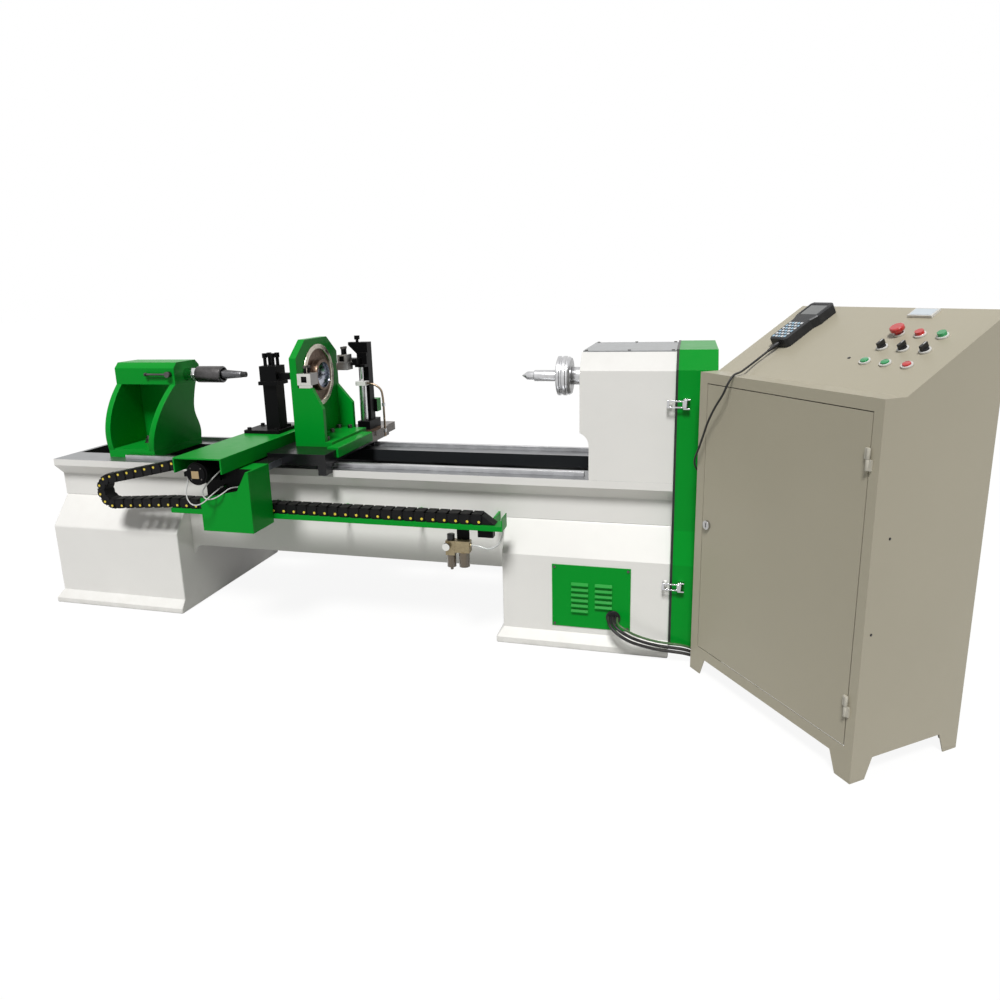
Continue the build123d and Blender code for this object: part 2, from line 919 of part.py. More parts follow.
quill_right = box_right + quill_reach
quill_socket = 22.0
quill_bore_depth = 60.0
nut_right = quill_right + nut_length
quill = rod_x(quill_right - quill_length, quill_right, 0, spindle_height, quill_diameter / 2)
nut_face = Plane.YZ.offset(quill_right) * Pos(0, spindle_height) * RegularPolygon(nut_diameter / 2, 6)
quill += extrude(nut_face, amount=nut_length)
quill -= rod_x(quill_right - quill_bore_depth, nut_right + 1, 0, spindle_height, quill_socket / 2)
save("quill", quill)

live_left = nut_right + slide_gap
live_right = live_left + live_body_length
live_neck = live_right + live_taper_length
live_outline = [
    (quill_right - live_shank, quill_socket / 2 - turn_fit),
    (live_left, quill_socket / 2 - turn_fit),
    (live_left, live_body_diameter / 2 - 4),
    (live_left + 4, live_body_diameter / 2),
    (live_right - 4, live_body_diameter / 2),
    (live_right, live_body_diameter / 2 - 4),
    (live_right, live_rim),
    (live_right - live_recess, live_rim - 2),
    (live_right - live_recess, live_taper_start),
    (live_neck, live_taper_end),
    (live_neck, live_taper_end - 1),
    (live_neck + live_tip_length, live_taper_end - 2),
    (live_neck + live_tip_length, 5),
    (live_neck + live_tip_length - 6, 3),
]
save("live_center", turned_x(live_outline, 0, spindle_height))

lever_length = 119.0
lever_front = -tail_box_half - slide_gap
quill_lever = rod_y(lever_x, lever_front, lever_front + 28, lever_z, lever_stud / 2)
quill_lever += rod_y(lever_x, lever_front - 22, lever_front, lever_z, 13)
quill_lever += rod_x(lever_x - lever_length, lever_x, lever_front - 12, lever_z, 5)
quill_lever += Pos(lever_x - lever_length, lever_front - 12, lever_z) * Rot(0, 0, 180) * Sphere(9)
save("quill_lever", quill_lever)


# Saddle with rail shoes, cross bed, rear slide bed and feed bracket
saddle = block(saddle_left, saddle_split, -saddle_half, saddle_half, shoe_top, saddle_low_top)
saddle += block(saddle_split, saddle_right, -saddle_half, saddle_half, shoe_top, saddle_top)
shoe_inset = 20.0
for shoe_x in (saddle_left + shoe_inset, saddle_right - shoe_inset - shoe_length):
    for side in (-1, 1):
        shoe_y = side * rail_half
        shoe = block(
            shoe_x,
            shoe_x + shoe_length,
            shoe_y - shoe_width / 2,
            shoe_y + shoe_width / 2,
            way_top + 5,
            shoe_top,
        )
        saddle += shoe - block(
            shoe_x - 1,
            shoe_x + shoe_length + 1,
            shoe_y - rail_width / 2 - slide_gap,
            shoe_y + rail_width / 2 + slide_gap,
            way_top,
            way_top + rail_height + slide_gap,
        )
cross_right = cross_left + cross_width
cross_bed_left = cross_left + cross_bed_inset
cross_bed_right = cross_right - cross_bed_inset
cross_bed_top = cross_top - cross_sheet
cross_bed = block(
    cross_bed_left,
    cross_bed_right,
    cross_bed_front,
    cross_bed_rear,
    saddle_low_top,
    cross_bed_top,
)
cross_bed -= block(
    cross_bed_left + 18,
    cross_bed_right - 18,
    cross_bed_front + 20,
    cross_bed_rear - 20,
    saddle_low_top + 8,
    cross_bed_top - 14,
)
saddle += cross_bed
rear_bed_top = saddle_top - rear_bed_drop
saddle += block(
    rear_bed_left,
    rear_bed_right,
    saddle_half - 1,
    rear_bed_rear,
    rear_bed_top - rear_bed_height,
    rear_bed_top,
)
gib_left = saddle_right - gib_length
saddle += block(gib_left, saddle_right, -saddle_half, -bed_half - 3, shoe_top - gib_drop, shoe_top + 1)
bridge_left = cross_bed_left + 52
saddle += block(bridge_left, apron_right, apron_back, -saddle_half + 1, shoe_top, saddle_low_top)
chain_rear = chain_front + chain_width
chain_end_z = saddle_low_top - chain_height / 2
chain_clamp_low = saddle_low_top - chain_height
saddle += block(chain_left, cross_bed_left + 40, chain_front, chain_rear, chain_clamp_low, saddle_low_top)

# Feed drive hung from the saddle into the gap between the ways
pinion_x = rack_start + 40 * tooth_pitch
pinion_y = rack_pitch_y + pinion_radius
feed_plate_top = rack_low - 8
feed_plate_thick = 10.0
feed_motor_size = 86.0
feed_motor_length = 80.0
feed_half = feed_motor_size / 2
wall_y = pinion_y + feed_half + 2
saddle += block(pinion_x - feed_half, pinion_x + feed_half, wall_y, wall_y + 12, feed_plate_top - 1, shoe_top)
feed_plate = block(
    pinion_x - feed_half,
    pinion_x + feed_half,
    pinion_y - 38,
    wall_y + 12,
    feed_plate_top - feed_plate_thick,
    feed_plate_top,
)
feed_shaft = 18.0
saddle += feed_plate - rod_z(pinion_x, pinion_y, feed_plate_top - 20, feed_plate_top + 1, feed_shaft / 2 + 2)
save("saddle", saddle)

feed_motor_top = feed_plate_top - feed_plate_thick
feed_motor = block(
    pinion_x - feed_half,
    pinion_x + feed_half,
    pinion_y - feed_half + 6,
    pinion_y + feed_half,
    feed_motor_top - feed_motor_length,
    feed_motor_top,
)
feed_motor = chamfer(feed_motor.edges().filter_by(Axis.Z), 8)
feed_motor -= rod_z(pinion_x, pinion_y, feed_motor_top - 25, feed_motor_top + 1, feed_shaft / 2 + turn_fit)
save("feed_motor", feed_motor)

pinion_tip = pinion_radius + addendum
pinion_root = pinion_radius - dedendum
foot_angle = math.degrees(tooth_foot / pinion_root) / 2
tip_angle = math.degrees(tooth_tip / pinion_tip) / 2
pinion_points = []
for index in range(pinion_teeth):
    middle = 270 + index * 360 / pinion_teeth
    for radius, offset in (
        (pinion_root, -foot_angle),
        (pinion_tip, -tip_angle),
        (pinion_tip, tip_angle),
        (pinion_root, foot_angle),
    ):
        angle = math.radians(middle + offset)
        pinion_points.append((pinion_x + radius * math.cos(angle), pinion_y + radius * math.sin(angle)))
pinion = prism_z(pinion_points, rack_low, rack_low + rack_face)
pinion += rod_z(pinion_x, pinion_y, feed_motor_top - 24, rack_low + 1, feed_shaft / 2)
save("pinion", pinion)


# Apron box below the cross bed, notched for the cross motor
motor_half = cross_motor_size / 2
cross_motor_z = cross_bed_top - cross_motor_drop
cap_front = cross_bed_front - cross_motor_length - 5
lead_y = cap_front + 18
lead_x = cross_motor_x - motor_half - 7
lead_low = cross_motor_z - 14
apron_top = saddle_low_top
apron = block(apron_left, apron_right, apron_front, apron_back, apron_bottom, apron_top)
apron -= block(
    apron_left + apron_sheet,
    apron_right - apron_sheet,
    apron_front + apron_sheet,
    apron_back + 1,
    apron_bottom + apron_sheet,
    apron_top - apron_sheet,
)
notch_right = cross_motor_x + notch_reach
notch_low = cross_motor_z - notch_drop
notch_back = cross_bed_front + 8
notch_walls = [
    (apron_left, notch_low - apron_sheet),
    (notch_right + apron_sheet, notch_low + notch_rise - apron_sheet),
    (notch_right + notch_flare + apron_sheet, apron_top),
    (apron_left, apron_top),
]
notch_room = [
    (apron_left - 1, notch_low),
    (notch_right, notch_low + notch_rise),
    (notch_right + notch_flare, apron_top + 1),
    (apron_left - 1, apron_top + 1),
]
apron += prism_y(notch_walls, apron_front, notch_back + apron_sheet)
apron -= prism_y(notch_room, apron_front - 1, notch_back)
left_entry_x = cross_motor_x + 48
left_entry_z = cross_motor_z - 71
right_entry_y = notch_back - 24
right_entry_z = notch_low + notch_rise + 9
entry_length = 10.0
apron += rod_y(left_entry_x, notch_back - entry_length, notch_back + 1, left_entry_z, 6)
apron += rod_x(notch_right - 7, notch_right + 8, right_entry_y, right_entry_z, 6)
save("apron", apron)

motor_face = cross_bed_front
motor_front = motor_face - cross_motor_length
cross_motor = rod_y(cross_motor_x, motor_front, motor_face - 10, cross_motor_z, motor_half)
plate_z0 = cross_motor_z - motor_half
cross_motor += block(
    cross_motor_x - motor_half,
    cross_motor_x + motor_half,
    motor_face - 12,
    motor_face,
    plate_z0,
    cross_motor_z + motor_half,
)
cross_motor += rod_y(cross_motor_x, cap_front, cap_front + 6, cross_motor_z, motor_half - 8)
cross_motor += block(lead_x - 8, lead_x + 14, lead_y - 9, lead_y + 9, lead_low, lead_low + 18)
save("cross_motor", cross_motor)

skirt_low = cross_top - cross_skirt
slide_cover = block(cross_left, cross_right, cross_front, cross_rear, skirt_low, cross_top)
slide_cover -= block(
    cross_left + cross_sheet,
    cross_right - cross_sheet,
    cross_front - 1,
    cross_rear + 1,
    skirt_low - 1,
    cross_top - cross_sheet,
)
save("slide_cover", slide_cover)


# Front tool post
post_half = post_column / 2
flange_z = spindle_height - post_flange_drop
head_low = flange_z + 16
head_high = head_low + post_head_height
post = block(
    cross_left + 6,
    cross_left + 6 + post_plate_length,
    post_y - post_plate_width / 2,
    post_y + post_plate_width / 2,
    cross_top,
    cross_top + post_plate_thick,
)
for bolt_x in (cross_left + 24, cross_left + post_plate_length - 12):
    for bolt_y in (post_y - post_plate_width / 2 + 16, post_y + post_plate_width / 2 - 16):
        post += rod_z(bolt_x, bolt_y, cross_top + 1, cross_top + post_plate_thick + 10, 9)
post += block(
    post_x - post_half,
    post_x + post_half,
    post_y - post_half,
    post_y + post_half,
    cross_top + 1,
    flange_z + 1,
)
flange_half = post_flange / 2
post += block(
    post_x - flange_half,
    post_x + flange_half,
    post_y - flange_half,
    post_y + flange_half,
    flange_z,
    head_low,
)
head_half = post_head / 2
post += block(
    post_x - head_half,
    post_x + head_half,
    post_y - head_half,
    post_y + head_half,
    head_low - 1,
    head_high,
)
bolt_neck = head_high + 34
for bolt_x in (post_x - post_bolt_offset, post_x + post_bolt_offset):
    for bolt_y in (post_y - post_bolt_offset, post_y + post_bolt_offset):
        post += rod_z(bolt_x, bolt_y, head_high - 1, bolt_neck, 7.5)
        post += extrude(Pos(bolt_x, bolt_y, bolt_neck) * RegularPolygon(12, 6), amount=20)
arm_right = steady_left - 10
post += block(
    post_x + head_half - 1,
    arm_right,
    post_y - 15,
    post_y + 12,
    head_low + 6,
    head_low + 34,
)
save("front_tool_post", post)


# Steady rest: chamfered plate, gussets, base with a hanging edge bar and a turning ring
steady_right = steady_left + steady_thick
steady_high = spindle_height + steady_top
steady_outline = [
    (-steady_half, saddle_top),
    (-steady_half, steady_high - steady_chamfer_z),
    (-steady_half + steady_chamfer_y, steady_high),
    (steady_half - steady_chamfer_y, steady_high),
    (steady_half, steady_high - steady_chamfer_z),
    (steady_half, saddle_top),
]
steady = prism_x(steady_outline, steady_left, steady_right)
steady -= rod_x(steady_left - 1, steady_right + 1, 0, spindle_height, steady_bore / 2)
gusset_high = spindle_height - gusset_drop
gusset_right = steady_right + gusset_length
front_gusset = [
    (steady_right - 1, saddle_top),
    (gusset_right, saddle_top),
    (gusset_right, gusset_high - gusset_slope),
    (steady_right + holder_length, gusset_high),
    (steady_right - 1, gusset_high),
]
steady += prism_y(front_gusset, -steady_half, -steady_half + gusset_thick)
rear_gusset_right = gusset_right - 35
rear_gusset_high = gusset_high - 25
rear_gusset = [
    (steady_right - 1, saddle_top),
    (rear_gusset_right, saddle_top),
    (rear_gusset_right, rear_gusset_high - gusset_slope),
    (steady_right - 1, rear_gusset_high),
]
steady += prism_y(rear_gusset, steady_half - gusset_thick, steady_half)
steady += block(
    steady_right - 1,
    steady_base_right,
    -steady_half,
    steady_base_rear,
    saddle_top,
    saddle_top + steady_base_thick,
)
bar_right = saddle_right + steady_bar_reach
bar_top = saddle_top + steady_bar_thick
bar_outline = [
    (steady_base_right - 1, saddle_top),
    (saddle_right, saddle_top),
    (saddle_right, saddle_top - steady_bar_drop),
    (bar_right, saddle_top - steady_bar_drop),
    (bar_right, bar_top - 3),
    (bar_right - 3, bar_top),
    (steady_base_right - 1, bar_top),
]
steady += prism_y(bar_outline, steady_bar_front, steady_bar_rear)
save("steady_frame", steady)

ring_fit = steady_bore / 2 - turn_fit
ring_face = steady_right + slide_gap + steady_lip
sleeve_right = ring_face + sleeve_reach
ring_outline = [
    (steady_left - slide_gap - steady_lip, steady_bore / 2 + 4),
    (steady_left - slide_gap, steady_bore / 2 + 6),
    (steady_left - slide_gap, ring_fit),
    (steady_right + slide_gap, ring_fit),
    (steady_right + slide_gap, steady_bore / 2 + 6),
    (ring_face, steady_bore / 2 + 4),
    (ring_face, steady_recess / 2),
    (ring_face - ring_recess, steady_recess / 2 - 3),
    (ring_face - ring_recess, steady_sleeve / 2),
    (sleeve_right, steady_sleeve / 2 - 2),
]
steady_ring = turned_x(ring_outline, 0, spindle_height)
steady_ring -= rod_x(steady_left - 20, sleeve_right + 1, 0, spindle_height, steady_ring_bore / 2)
save("steady_ring", steady_ring)

holder_y0 = -steady_half - 2
holder_y1 = holder_y0 + holder_width
holder_left = steady_right
holder_right = holder_left + holder_length
holder_low = gusset_high + holder_lift
holder_high = holder_low + holder_height
holder = block(holder_left, holder_right, holder_y0, holder_y0 + holder_neck, holder_low, holder_high)
holder += block(ring_face + 1, holder_right, holder_y0 + holder_neck - 1, holder_y1, holder_low, holder_high)
holder += block(
    holder_left + 6,
    holder_right - 6,
    -steady_half,
    -steady_half + gusset_thick,
    gusset_high,
    holder_low + 1,
)
slot_x = (holder_left + holder_right) / 2
slot_z = (holder_low + holder_high) / 2
slot_half = tool_slot / 2
holder -= block(
    slot_x - slot_half,
    slot_x + slot_half,
    holder_y0 - 1,
    holder_y1 + 1,
    slot_z - slot_half,
    slot_z + slot_half,
)
for bolt_y in (holder_y0 + 16, holder_y1 - 16):
    holder += rod_z(slot_x, bolt_y, holder_high - 1, holder_high + 22, 6)
save("front_tool_holder", holder)


# Rear tool unit: post on its slide, air cylinder, lifting tool block
post_foot = saddle_top + rear_plate_thick
column_left = column_right - column_width
column_x = (column_left + column_right) / 2
cylinder_y = column_y - cylinder_diameter / 2 - 4
foot_front = cylinder_y - cylinder_diameter / 2 - 4
column_rear = column_y + column_depth
column_mid_y = column_y + column_depth / 2
column_top = spindle_height + column_rise
cylinder_top = spindle_height - cylinder_drop
foot_rear = column_y + rear_foot_reach
rear_post = block(column_left - 2, rear_bed_right - 5, foot_front, foot_rear, saddle_top, post_foot)
rear_post += block(column_left, column_right, column_y, column_rear, post_foot - 1, column_top)
bracket = [
    (column_left + 1, column_top - bracket_drop),
    (column_left + 1, column_top),
    (column_left - bracket_reach, column_top),
    (column_left - bracket_reach, column_top - 14),
]
rear_post += prism_y(bracket, column_mid_y - 13, column_mid_y + 13)
knob_x = column_left - 10
rear_post += rod_z(knob_x, column_mid_y, column_top - 1, column_top + 12, 7)
rear_post += rod_z(knob_x, column_mid_y, column_top + 12, column_top + 30, 13)
rear_post += block(
    column_left + 12,
    column_right + 12,
    column_rear - 1,
    column_rear + switch_box_length,
    post_foot + switch_box_lift,
    post_foot + switch_box_lift + switch_box_height,
)
save("rear_post", rear_post)

rod_bore = rod_diameter / 2 + slide_gap
cylinder = rod_z(column_x, cylinder_y, post_foot, cylinder_top, cylinder_diameter / 2)
clamp_ring_top = cylinder_top + 18
cylinder += block(column_left, column_right, foot_front, column_y, cylinder_top - 1, clamp_ring_top)
cylinder_floor = post_foot + cylinder_base
cylinder -= rod_z(column_x, cylinder_y, cylinder_floor, clamp_ring_top + 1, rod_bore)
pipe_end_z = shoe_top + 13
pipe_x = saddle_right + 26
pipe_z = cylinder_top - 7
pipe_points = [
    (column_right, cylinder_y, pipe_z + 16),
    (column_right + 38, cylinder_y, pipe_z + 10),
    (pipe_x - 6, cylinder_y, pipe_z - 14),
    (pipe_x, cylinder_y, pipe_z - 64),
    (pipe_x, cylinder_y + 1, pipe_end_z),
]
cylinder += tube("air pipe", pipe_points, 10)
save("rear_cylinder", cylinder)

lift_plate_rear = column_y - slide_gap
lift_low = spindle_height + lift_foot_rise
lift_high = lift_low + lift_plate_height
lift = block(column_left, column_right, lift_plate_rear - 12, lift_plate_rear, lift_low, lift_high)
lift += block(column_left, column_right, foot_front + 6, lift_plate_rear - 11, lift_low, lift_low + 12)
rod_low = (cylinder_floor + clamp_ring_top) / 2
lift += rod_z(column_x, cylinder_y, rod_low, lift_low + 1, rod_diameter / 2)
tool_right = column_left
tool_left = tool_right - tool_block_length
tool_y0 = tool_front
tool_y1 = tool_y0 + tool_block_width
tool_low = spindle_height + tool_block_rise
tool_step_z = tool_low + tool_step
tool_top = tool_low + tool_block_height
slot_left = tool_left + 9
slot_right = tool_right - 3
lift += block(tool_right - 30, column_x, tool_y1 - 8, lift_plate_rear - 1, lift_low + 12, lift_low + 42)
tool = block(slot_left, slot_right, tool_y0, tool_y1, tool_step_z - 1, tool_top)
tool_mid_x = (slot_left + slot_right) / 2
tool_mid_z = (tool_step_z + tool_top) / 2
tool -= block(
    tool_mid_x - slot_half,
    tool_mid_x + slot_half,
    tool_y0 - 1,
    tool_y1 - 12,
    tool_mid_z - slot_half,
    tool_mid_z + slot_half,
)
for bolt_y in (tool_y0 + 15, tool_y1 - 20):
    tool += rod_z(tool_mid_x, bolt_y, tool_top - 1, tool_top + 26, 7)
lift += tool
lift += block(tool_left, tool_right, tool_y0 + 3, tool_y1, tool_low, tool_step_z)
save("rear_tool_lift", lift)


# Chain tray on brackets from the bed web
tray_low = tray_floor - tray_sheet
tray = block(tray_left, tray_right, tray_front, tray_rear, tray_low, tray_floor)
lip_low = tray_floor - tray_lip_low
tray += block(tray_left, tray_right, tray_front, tray_front + tray_sheet, lip_low, tray_floor)
tray += block(
    tray_right - tray_sheet,
    tray_right,
    tray_front,
    tray_rear,
    lip_low,
    tray_floor + tray_stop,
)
tray_arm = [
    (-web_half, tray_floor - arm_drop),
    (-web_half, tray_floor),
    (tray_rear - 20, tray_floor - 1),
    (tray_rear - 20, tray_low - 8),
]
arm_count = 5
arm_step = (tray_right - tray_left - 2 * arm_inset) / (arm_count - 1)
for index in range(arm_count):
    arm_x = tray_left + arm_inset + index * arm_step
    arm = prism_x(tray_arm, arm_x - 4, arm_x + 4)
    tray += arm
save("chain_tray", tray)


# Drag chain: fixed lower run, travelling loop, upper run to the carriage
chain_low_z = tray_floor + chain_height / 2
sag_start = tray_left - 8


def chain_points():
    heading = math.radians(180 + chain_sag)
    loop_start = Vector(sag_start, chain_low_z)
    loop_start += Vector(math.cos(heading), math.sin(heading)) * chain_sag_length
    inward = heading - math.pi / 2
    turn_axis = loop_start + Vector(math.cos(inward), math.sin(inward)) * chain_bend
    climb = math.radians(chain_climb)
    loop_end = turn_axis + Vector(math.cos(climb + math.pi / 2), math.sin(climb + math.pi / 2)) * chain_bend
    return loop_start, turn_axis, loop_end, heading, climb


loop_start, turn_axis, loop_end, chain_heading, climb_angle = chain_points()
climb_run = (chain_end_z - loop_end.Y) / math.tan(climb_angle)
climb_end = Vector(loop_end.X + climb_run, chain_end_z)


def chain_link(middle, angle, length):
    plate = Box(length - 5, chain_width, chain_height)
    inner = Box(length, chain_width - 12, chain_height - 10)
    place = Pos(middle.X, chain_front + chain_width / 2, middle.Y) * Rot(0, -math.degrees(angle), 0)
    return place * (plate + inner)


def chain_run(start, end):
    run = end - start
    count = max(1, round(run.length / chain_pitch))
    angle = math.atan2(run.Y, run.X)
    links = []
    for index in range(count):
        links.append(chain_link(start + run * ((index + 0.5) / count), angle, run.length / count))
    return links


lower_links = chain_run(Vector(chain_right, chain_low_z), Vector(sag_start, chain_low_z))
save("drag_chain_lower", joined(lower_links + chain_run(Vector(sag_start, chain_low_z), loop_start)))

loop_turn = chain_heading - climb_angle
loop_count = 5
loop_step = loop_turn / loop_count
loop_links = []
for index in range(loop_count):
    angle = chain_heading - (index + 0.5) * loop_step
    middle = turn_axis + Vector(math.cos(angle + math.pi / 2), math.sin(angle + math.pi / 2)) * chain_bend
    loop_links.append(chain_link(middle, angle, 2 * chain_bend * math.tan(loop_step / 2)))
chain_loop = joined(loop_links)
for spot, angle in ((loop_start, chain_heading), (loop_end, climb_angle + math.pi)):
    behind = spot - Vector(math.cos(angle), math.sin(angle)) * (60 - slide_gap)
    place = Pos(behind.X, chain_front + chain_width / 2, behind.Y) * Rot(0, -math.degrees(angle), 0)
    chain_loop -= place * Box(120, chain_width + 10, chain_height + 16)
save("drag_chain_loop", chain_loop)

upper_links = chain_run(loop_end, climb_end)
save("drag_chain_upper", joined(upper_links + chain_run(climb_end, Vector(chain_left, chain_end_z))))

# Air unit: bracket, regulator, filter, bowls, gauge and valve box
body_half = air_body / 2
second_x = air_x + 52
air = block(air_x + 20, second_x + 18, air_y + 14, air_y + 20, air_top - 30, tray_low)
air += block(air_x + 20, second_x + 18, tray_rear - 30, tray_rear - 4, tray_low - 5, tray_low)
air += Pos(air_x, air_y, air_top - 29) * Box(air_body, air_body, 58)
air += block(air_x + body_half, second_x + 26, air_y - 17, air_y + 17, air_top - 46, air_top)
air += rod_z(air_x, air_y, air_top - 108, air_top - 58, 18)
air += rod_z(air_x, air_y, air_top - 121, air_top - 107, 6)
air += rod_z(second_x, air_y, air_top - 105, air_top - 46, 21)
air += rod_y(air_x - 12, air_y - body_half - 14, air_y - body_half, air_top - 21, 15)
air += rod_z(air_x, air_y, air_top - 1, air_top + 8, 6)
air += rod_x(second_x + 26, second_x + 30, air_y, air_top - 18, 8)
valve_left = tray_right - 101
air += block(valve_left, valve_left + 60, air_y - 22, tray_rear - 24, tray_low - 48, tray_low)
save("air_unit", air)
knob = rod_z(air_x, air_y, air_top + slide_gap, air_top + 24, air_knob_diameter / 2)
knob -= rod_z(air_x, air_y, air_top - 1, air_top + 8 + slide_gap, 6 + slide_gap)
save("air_knob", knob)


# Control cabinet, modelled square and then turned into place
cabinet_place = Pos(cabinet_x, cabinet_y, 0) * Rot(0, 0, cabinet_turn)
slope_rise = (cabinet_depth - cabinet_ledge) * math.tan(math.radians(panel_slope))
sheet = cabinet_sheet
door_right = cabinet_width - door_margin
button_last = cabinet_width - button_margin
button_xs = (button_last - 2 * button_pitch, button_last - button_pitch, button_last)


def cabinet_outline(inset, low):
    return [
        (inset, low),
        (inset, cabinet_height - inset),
        (cabinet_ledge, cabinet_height - inset),
        (cabinet_depth - inset, cabinet_height + slope_rise - 1.3 * inset),
        (cabinet_depth - inset, low),
    ]


cabinet = prism_x(cabinet_outline(0, 0), 0, cabinet_width)
cabinet -= prism_x(cabinet_outline(sheet, 0), sheet, cabinet_width - sheet)
cabinet += block(
    sheet,
    cabinet_width - sheet,
    door_depth + 2,
    cabinet_depth - sheet,
    cabinet_floor,
    cabinet_floor + sheet,
)
cabinet -= block(
    door_left - door_gap,
    door_right + door_gap,
    -1,
    sheet + 1,
    door_low - door_gap,
    door_high + door_gap,
)


def foot_gap(length):
    return [
        (cabinet_foot, -1),
        (cabinet_foot + foot_taper, cabinet_notch),
        (length - cabinet_foot - foot_taper, cabinet_notch),
        (length - cabinet_foot, -1),
    ]


cabinet -= prism_y(foot_gap(cabinet_width), -1, cabinet_depth + 1)
cabinet -= prism_x(foot_gap(cabinet_depth), -1, cabinet_width + 1)
panel_plane = Plane(
    origin=(0, cabinet_ledge, cabinet_height),
    x_dir=(1, 0, 0),
    z_dir=(0, -math.sin(math.radians(panel_slope)), math.cos(math.radians(panel_slope))),
)


def on_panel(x, row, low, high, radius):
    return panel_plane * Pos(x, row, (low + high) / 2) * Cylinder(radius, high - low)


def panel_box(x, row, low, high, length, width):
    return panel_plane * Pos(x, row, (low + high) / 2) * Box(length, width, high - low)


stop_x = button_xs[0]
for row in (button_row, selector_row):
    for x in button_xs:
        cabinet -= on_panel(x, row, -20, 20, button_bore / 2 + slide_gap)
cabinet -= on_panel(stop_x, lamp_row, -20, 20, button_bore / 2 + slide_gap)
hinge_x = door_right + door_gap / 2
hinge_y = -6.0
hinge_half = 30.0
hinge_leaf = 11.0
knuckle = 5.5
for height in hinge_heights:
    cabinet += rod_z(hinge_x, hinge_y, height - hinge_half, height - 0.5, knuckle)
    cabinet += rod_z(hinge_x, hinge_y, height - 1, height + hinge_half - 4, hinge_pin / 2)
    cabinet += block(hinge_x, hinge_x + hinge_leaf, hinge_y - 1, 0.5, height - hinge_half, height - 0.5)
save("cabinet_body", cabinet_place * cabinet)

door = block(door_left, door_right, 0, door_depth, door_low, door_high)
door -= block(
    door_left + 2,
    door_right - 2,
    2,
    door_depth + 1,
    door_low + 2,
    door_high - 2,
)
door -= rod_y(lock_x, -1, door_depth + 1, lock_height, lock_diameter / 2 + slide_gap)
for height in hinge_heights:
    door += rod_z(hinge_x, hinge_y, height, height + hinge_half, knuckle)
    door += block(hinge_x - hinge_leaf, hinge_x - 2, hinge_y - 1, 0.5, height, height + hinge_half)
    door += block(hinge_x - 8, hinge_x, hinge_y - 1, hinge_y + 2, height, height + hinge_half)
    door -= rod_z(hinge_x, hinge_y, height - 1, height + hinge_half - 3, hinge_pin / 2 + slide_gap)
save("cabinet_door", cabinet_place * door)

lock = rod_y(lock_x, -6, door_depth + 6, lock_height, lock_diameter / 2)
lock += rod_y(lock_x, -9, -slide_gap, lock_height, lock_diameter / 2 + 4)
lock -= block(lock_x - 2, lock_x + 2, -10, -4, lock_height - 8, lock_height + 8)
lock += block(lock_x - 9, lock_x + 9, door_depth + 2, door_depth + 6, lock_height - 22, lock_height + 22)
save("door_lock", cabinet_place * lock)

plate_y = cabinet_depth - sheet - 6
gear_high = cabinet_height - gear_drop
gear = block(gear_margin, cabinet_width - gear_margin, plate_y, cabinet_depth - sheet, gear_low, gear_high)


def gear_box(left, length, reach, low, height):
    x0 = gear_margin + left
    z0 = gear_low + low
    return block(x0, x0 + length, plate_y - reach, plate_y, z0, z0 + height)


gear += gear_box(40, 160, 70, 380, 260)
gear += gear_box(230, 130, 65, 400, 240)
gear += gear_box(390, 180, 45, 540, 90)
gear += gear_box(40, 530, 40, 280, 50)
gear += gear_box(50, 240, 55, 100, 110)
gear += gear_box(330, 230, 65, 60, 150)
save("electrical_panel", cabinet_place * gear)


def bezel(x, row):
    ring = on_panel(x, row, 0, bezel_height, bezel_diameter / 2)
    return ring - on_panel(x, row, -1, bezel_height + 1, button_bore / 2 + slide_gap)


fittings = []
for row in (button_row, selector_row):
    for x in button_xs:
        fittings.append(bezel(x, row))
fittings.append(bezel(stop_x, lamp_row))
for x in button_xs[1:]:
    lamp = on_panel(x, lamp_row, 0, bezel_height, bezel_diameter / 2)
    lamp += on_panel(x, lamp_row, bezel_height - 1, bezel_height + 10, 12)
    fittings.append(lamp)
meter = panel_box(stop_x, meter_row, 0, 8, meter_width, meter_height)
fittings.append(meter)
save("panel_fittings", cabinet_place * joined(fittings))

stop = on_panel(stop_x, lamp_row, -22, 15, button_bore / 2)
mushroom = on_panel(stop_x, lamp_row, 14, 28, 20)
stop += fillet(mushroom.edges().filter_by(GeomType.CIRCLE), 4)
save("e_stop", cabinet_place * stop)

button_names = ("start_button", "feed_button", "halt_button")
for name, x in zip(button_names, button_xs):
    save(name, cabinet_place * on_panel(x, button_row, -22, bezel_height + 4, button_bore / 2))

selector_names = ("selector_left", "selector_middle", "selector_right")
for name, x in zip(selector_names, button_xs):
    knob_part = on_panel(x, selector_row, -22, bezel_height + 3, button_bore / 2)
    knob_part += panel_box(x, selector_row, bezel_height + 2, bezel_height + 17, 8, 26)
    save(name, cabinet_place * knob_part)

grip_half = pendant_grip / 2
wide_half = pendant_width / 2
pendant_outline = [
    (pendant_x - grip_half + 8, pendant_low),
    (pendant_x - grip_half, pendant_low + 10),
    (pendant_x - grip_half, pendant_low + 0.52 * pendant_length),
    (pendant_x - wide_half, pendant_low + 0.64 * pendant_length),
    (pendant_x - wide_half, pendant_low + pendant_length - 10),
    (pendant_x - wide_half + 10, pendant_low + pendant_length),
    (pendant_x + wide_half - 10, pendant_low + pendant_length),
    (pendant_x + wide_half, pendant_low + pendant_length - 10),
    (pendant_x + wide_half, pendant_low + 0.64 * pendant_length),
    (pendant_x + grip_half, pendant_low + 0.52 * pendant_length),
    (pendant_x + grip_half, pendant_low + 10),
    (pendant_x + grip_half - 8, pendant_low),
]
pendant = extrude(make_face(Polyline(*pendant_outline, close=True)), amount=pendant_thick)
pendant = chamfer(pendant.faces().sort_by(Axis.Z)[-1].edges(), 4)
screen_mid = pendant_low + 0.79 * pendant_length
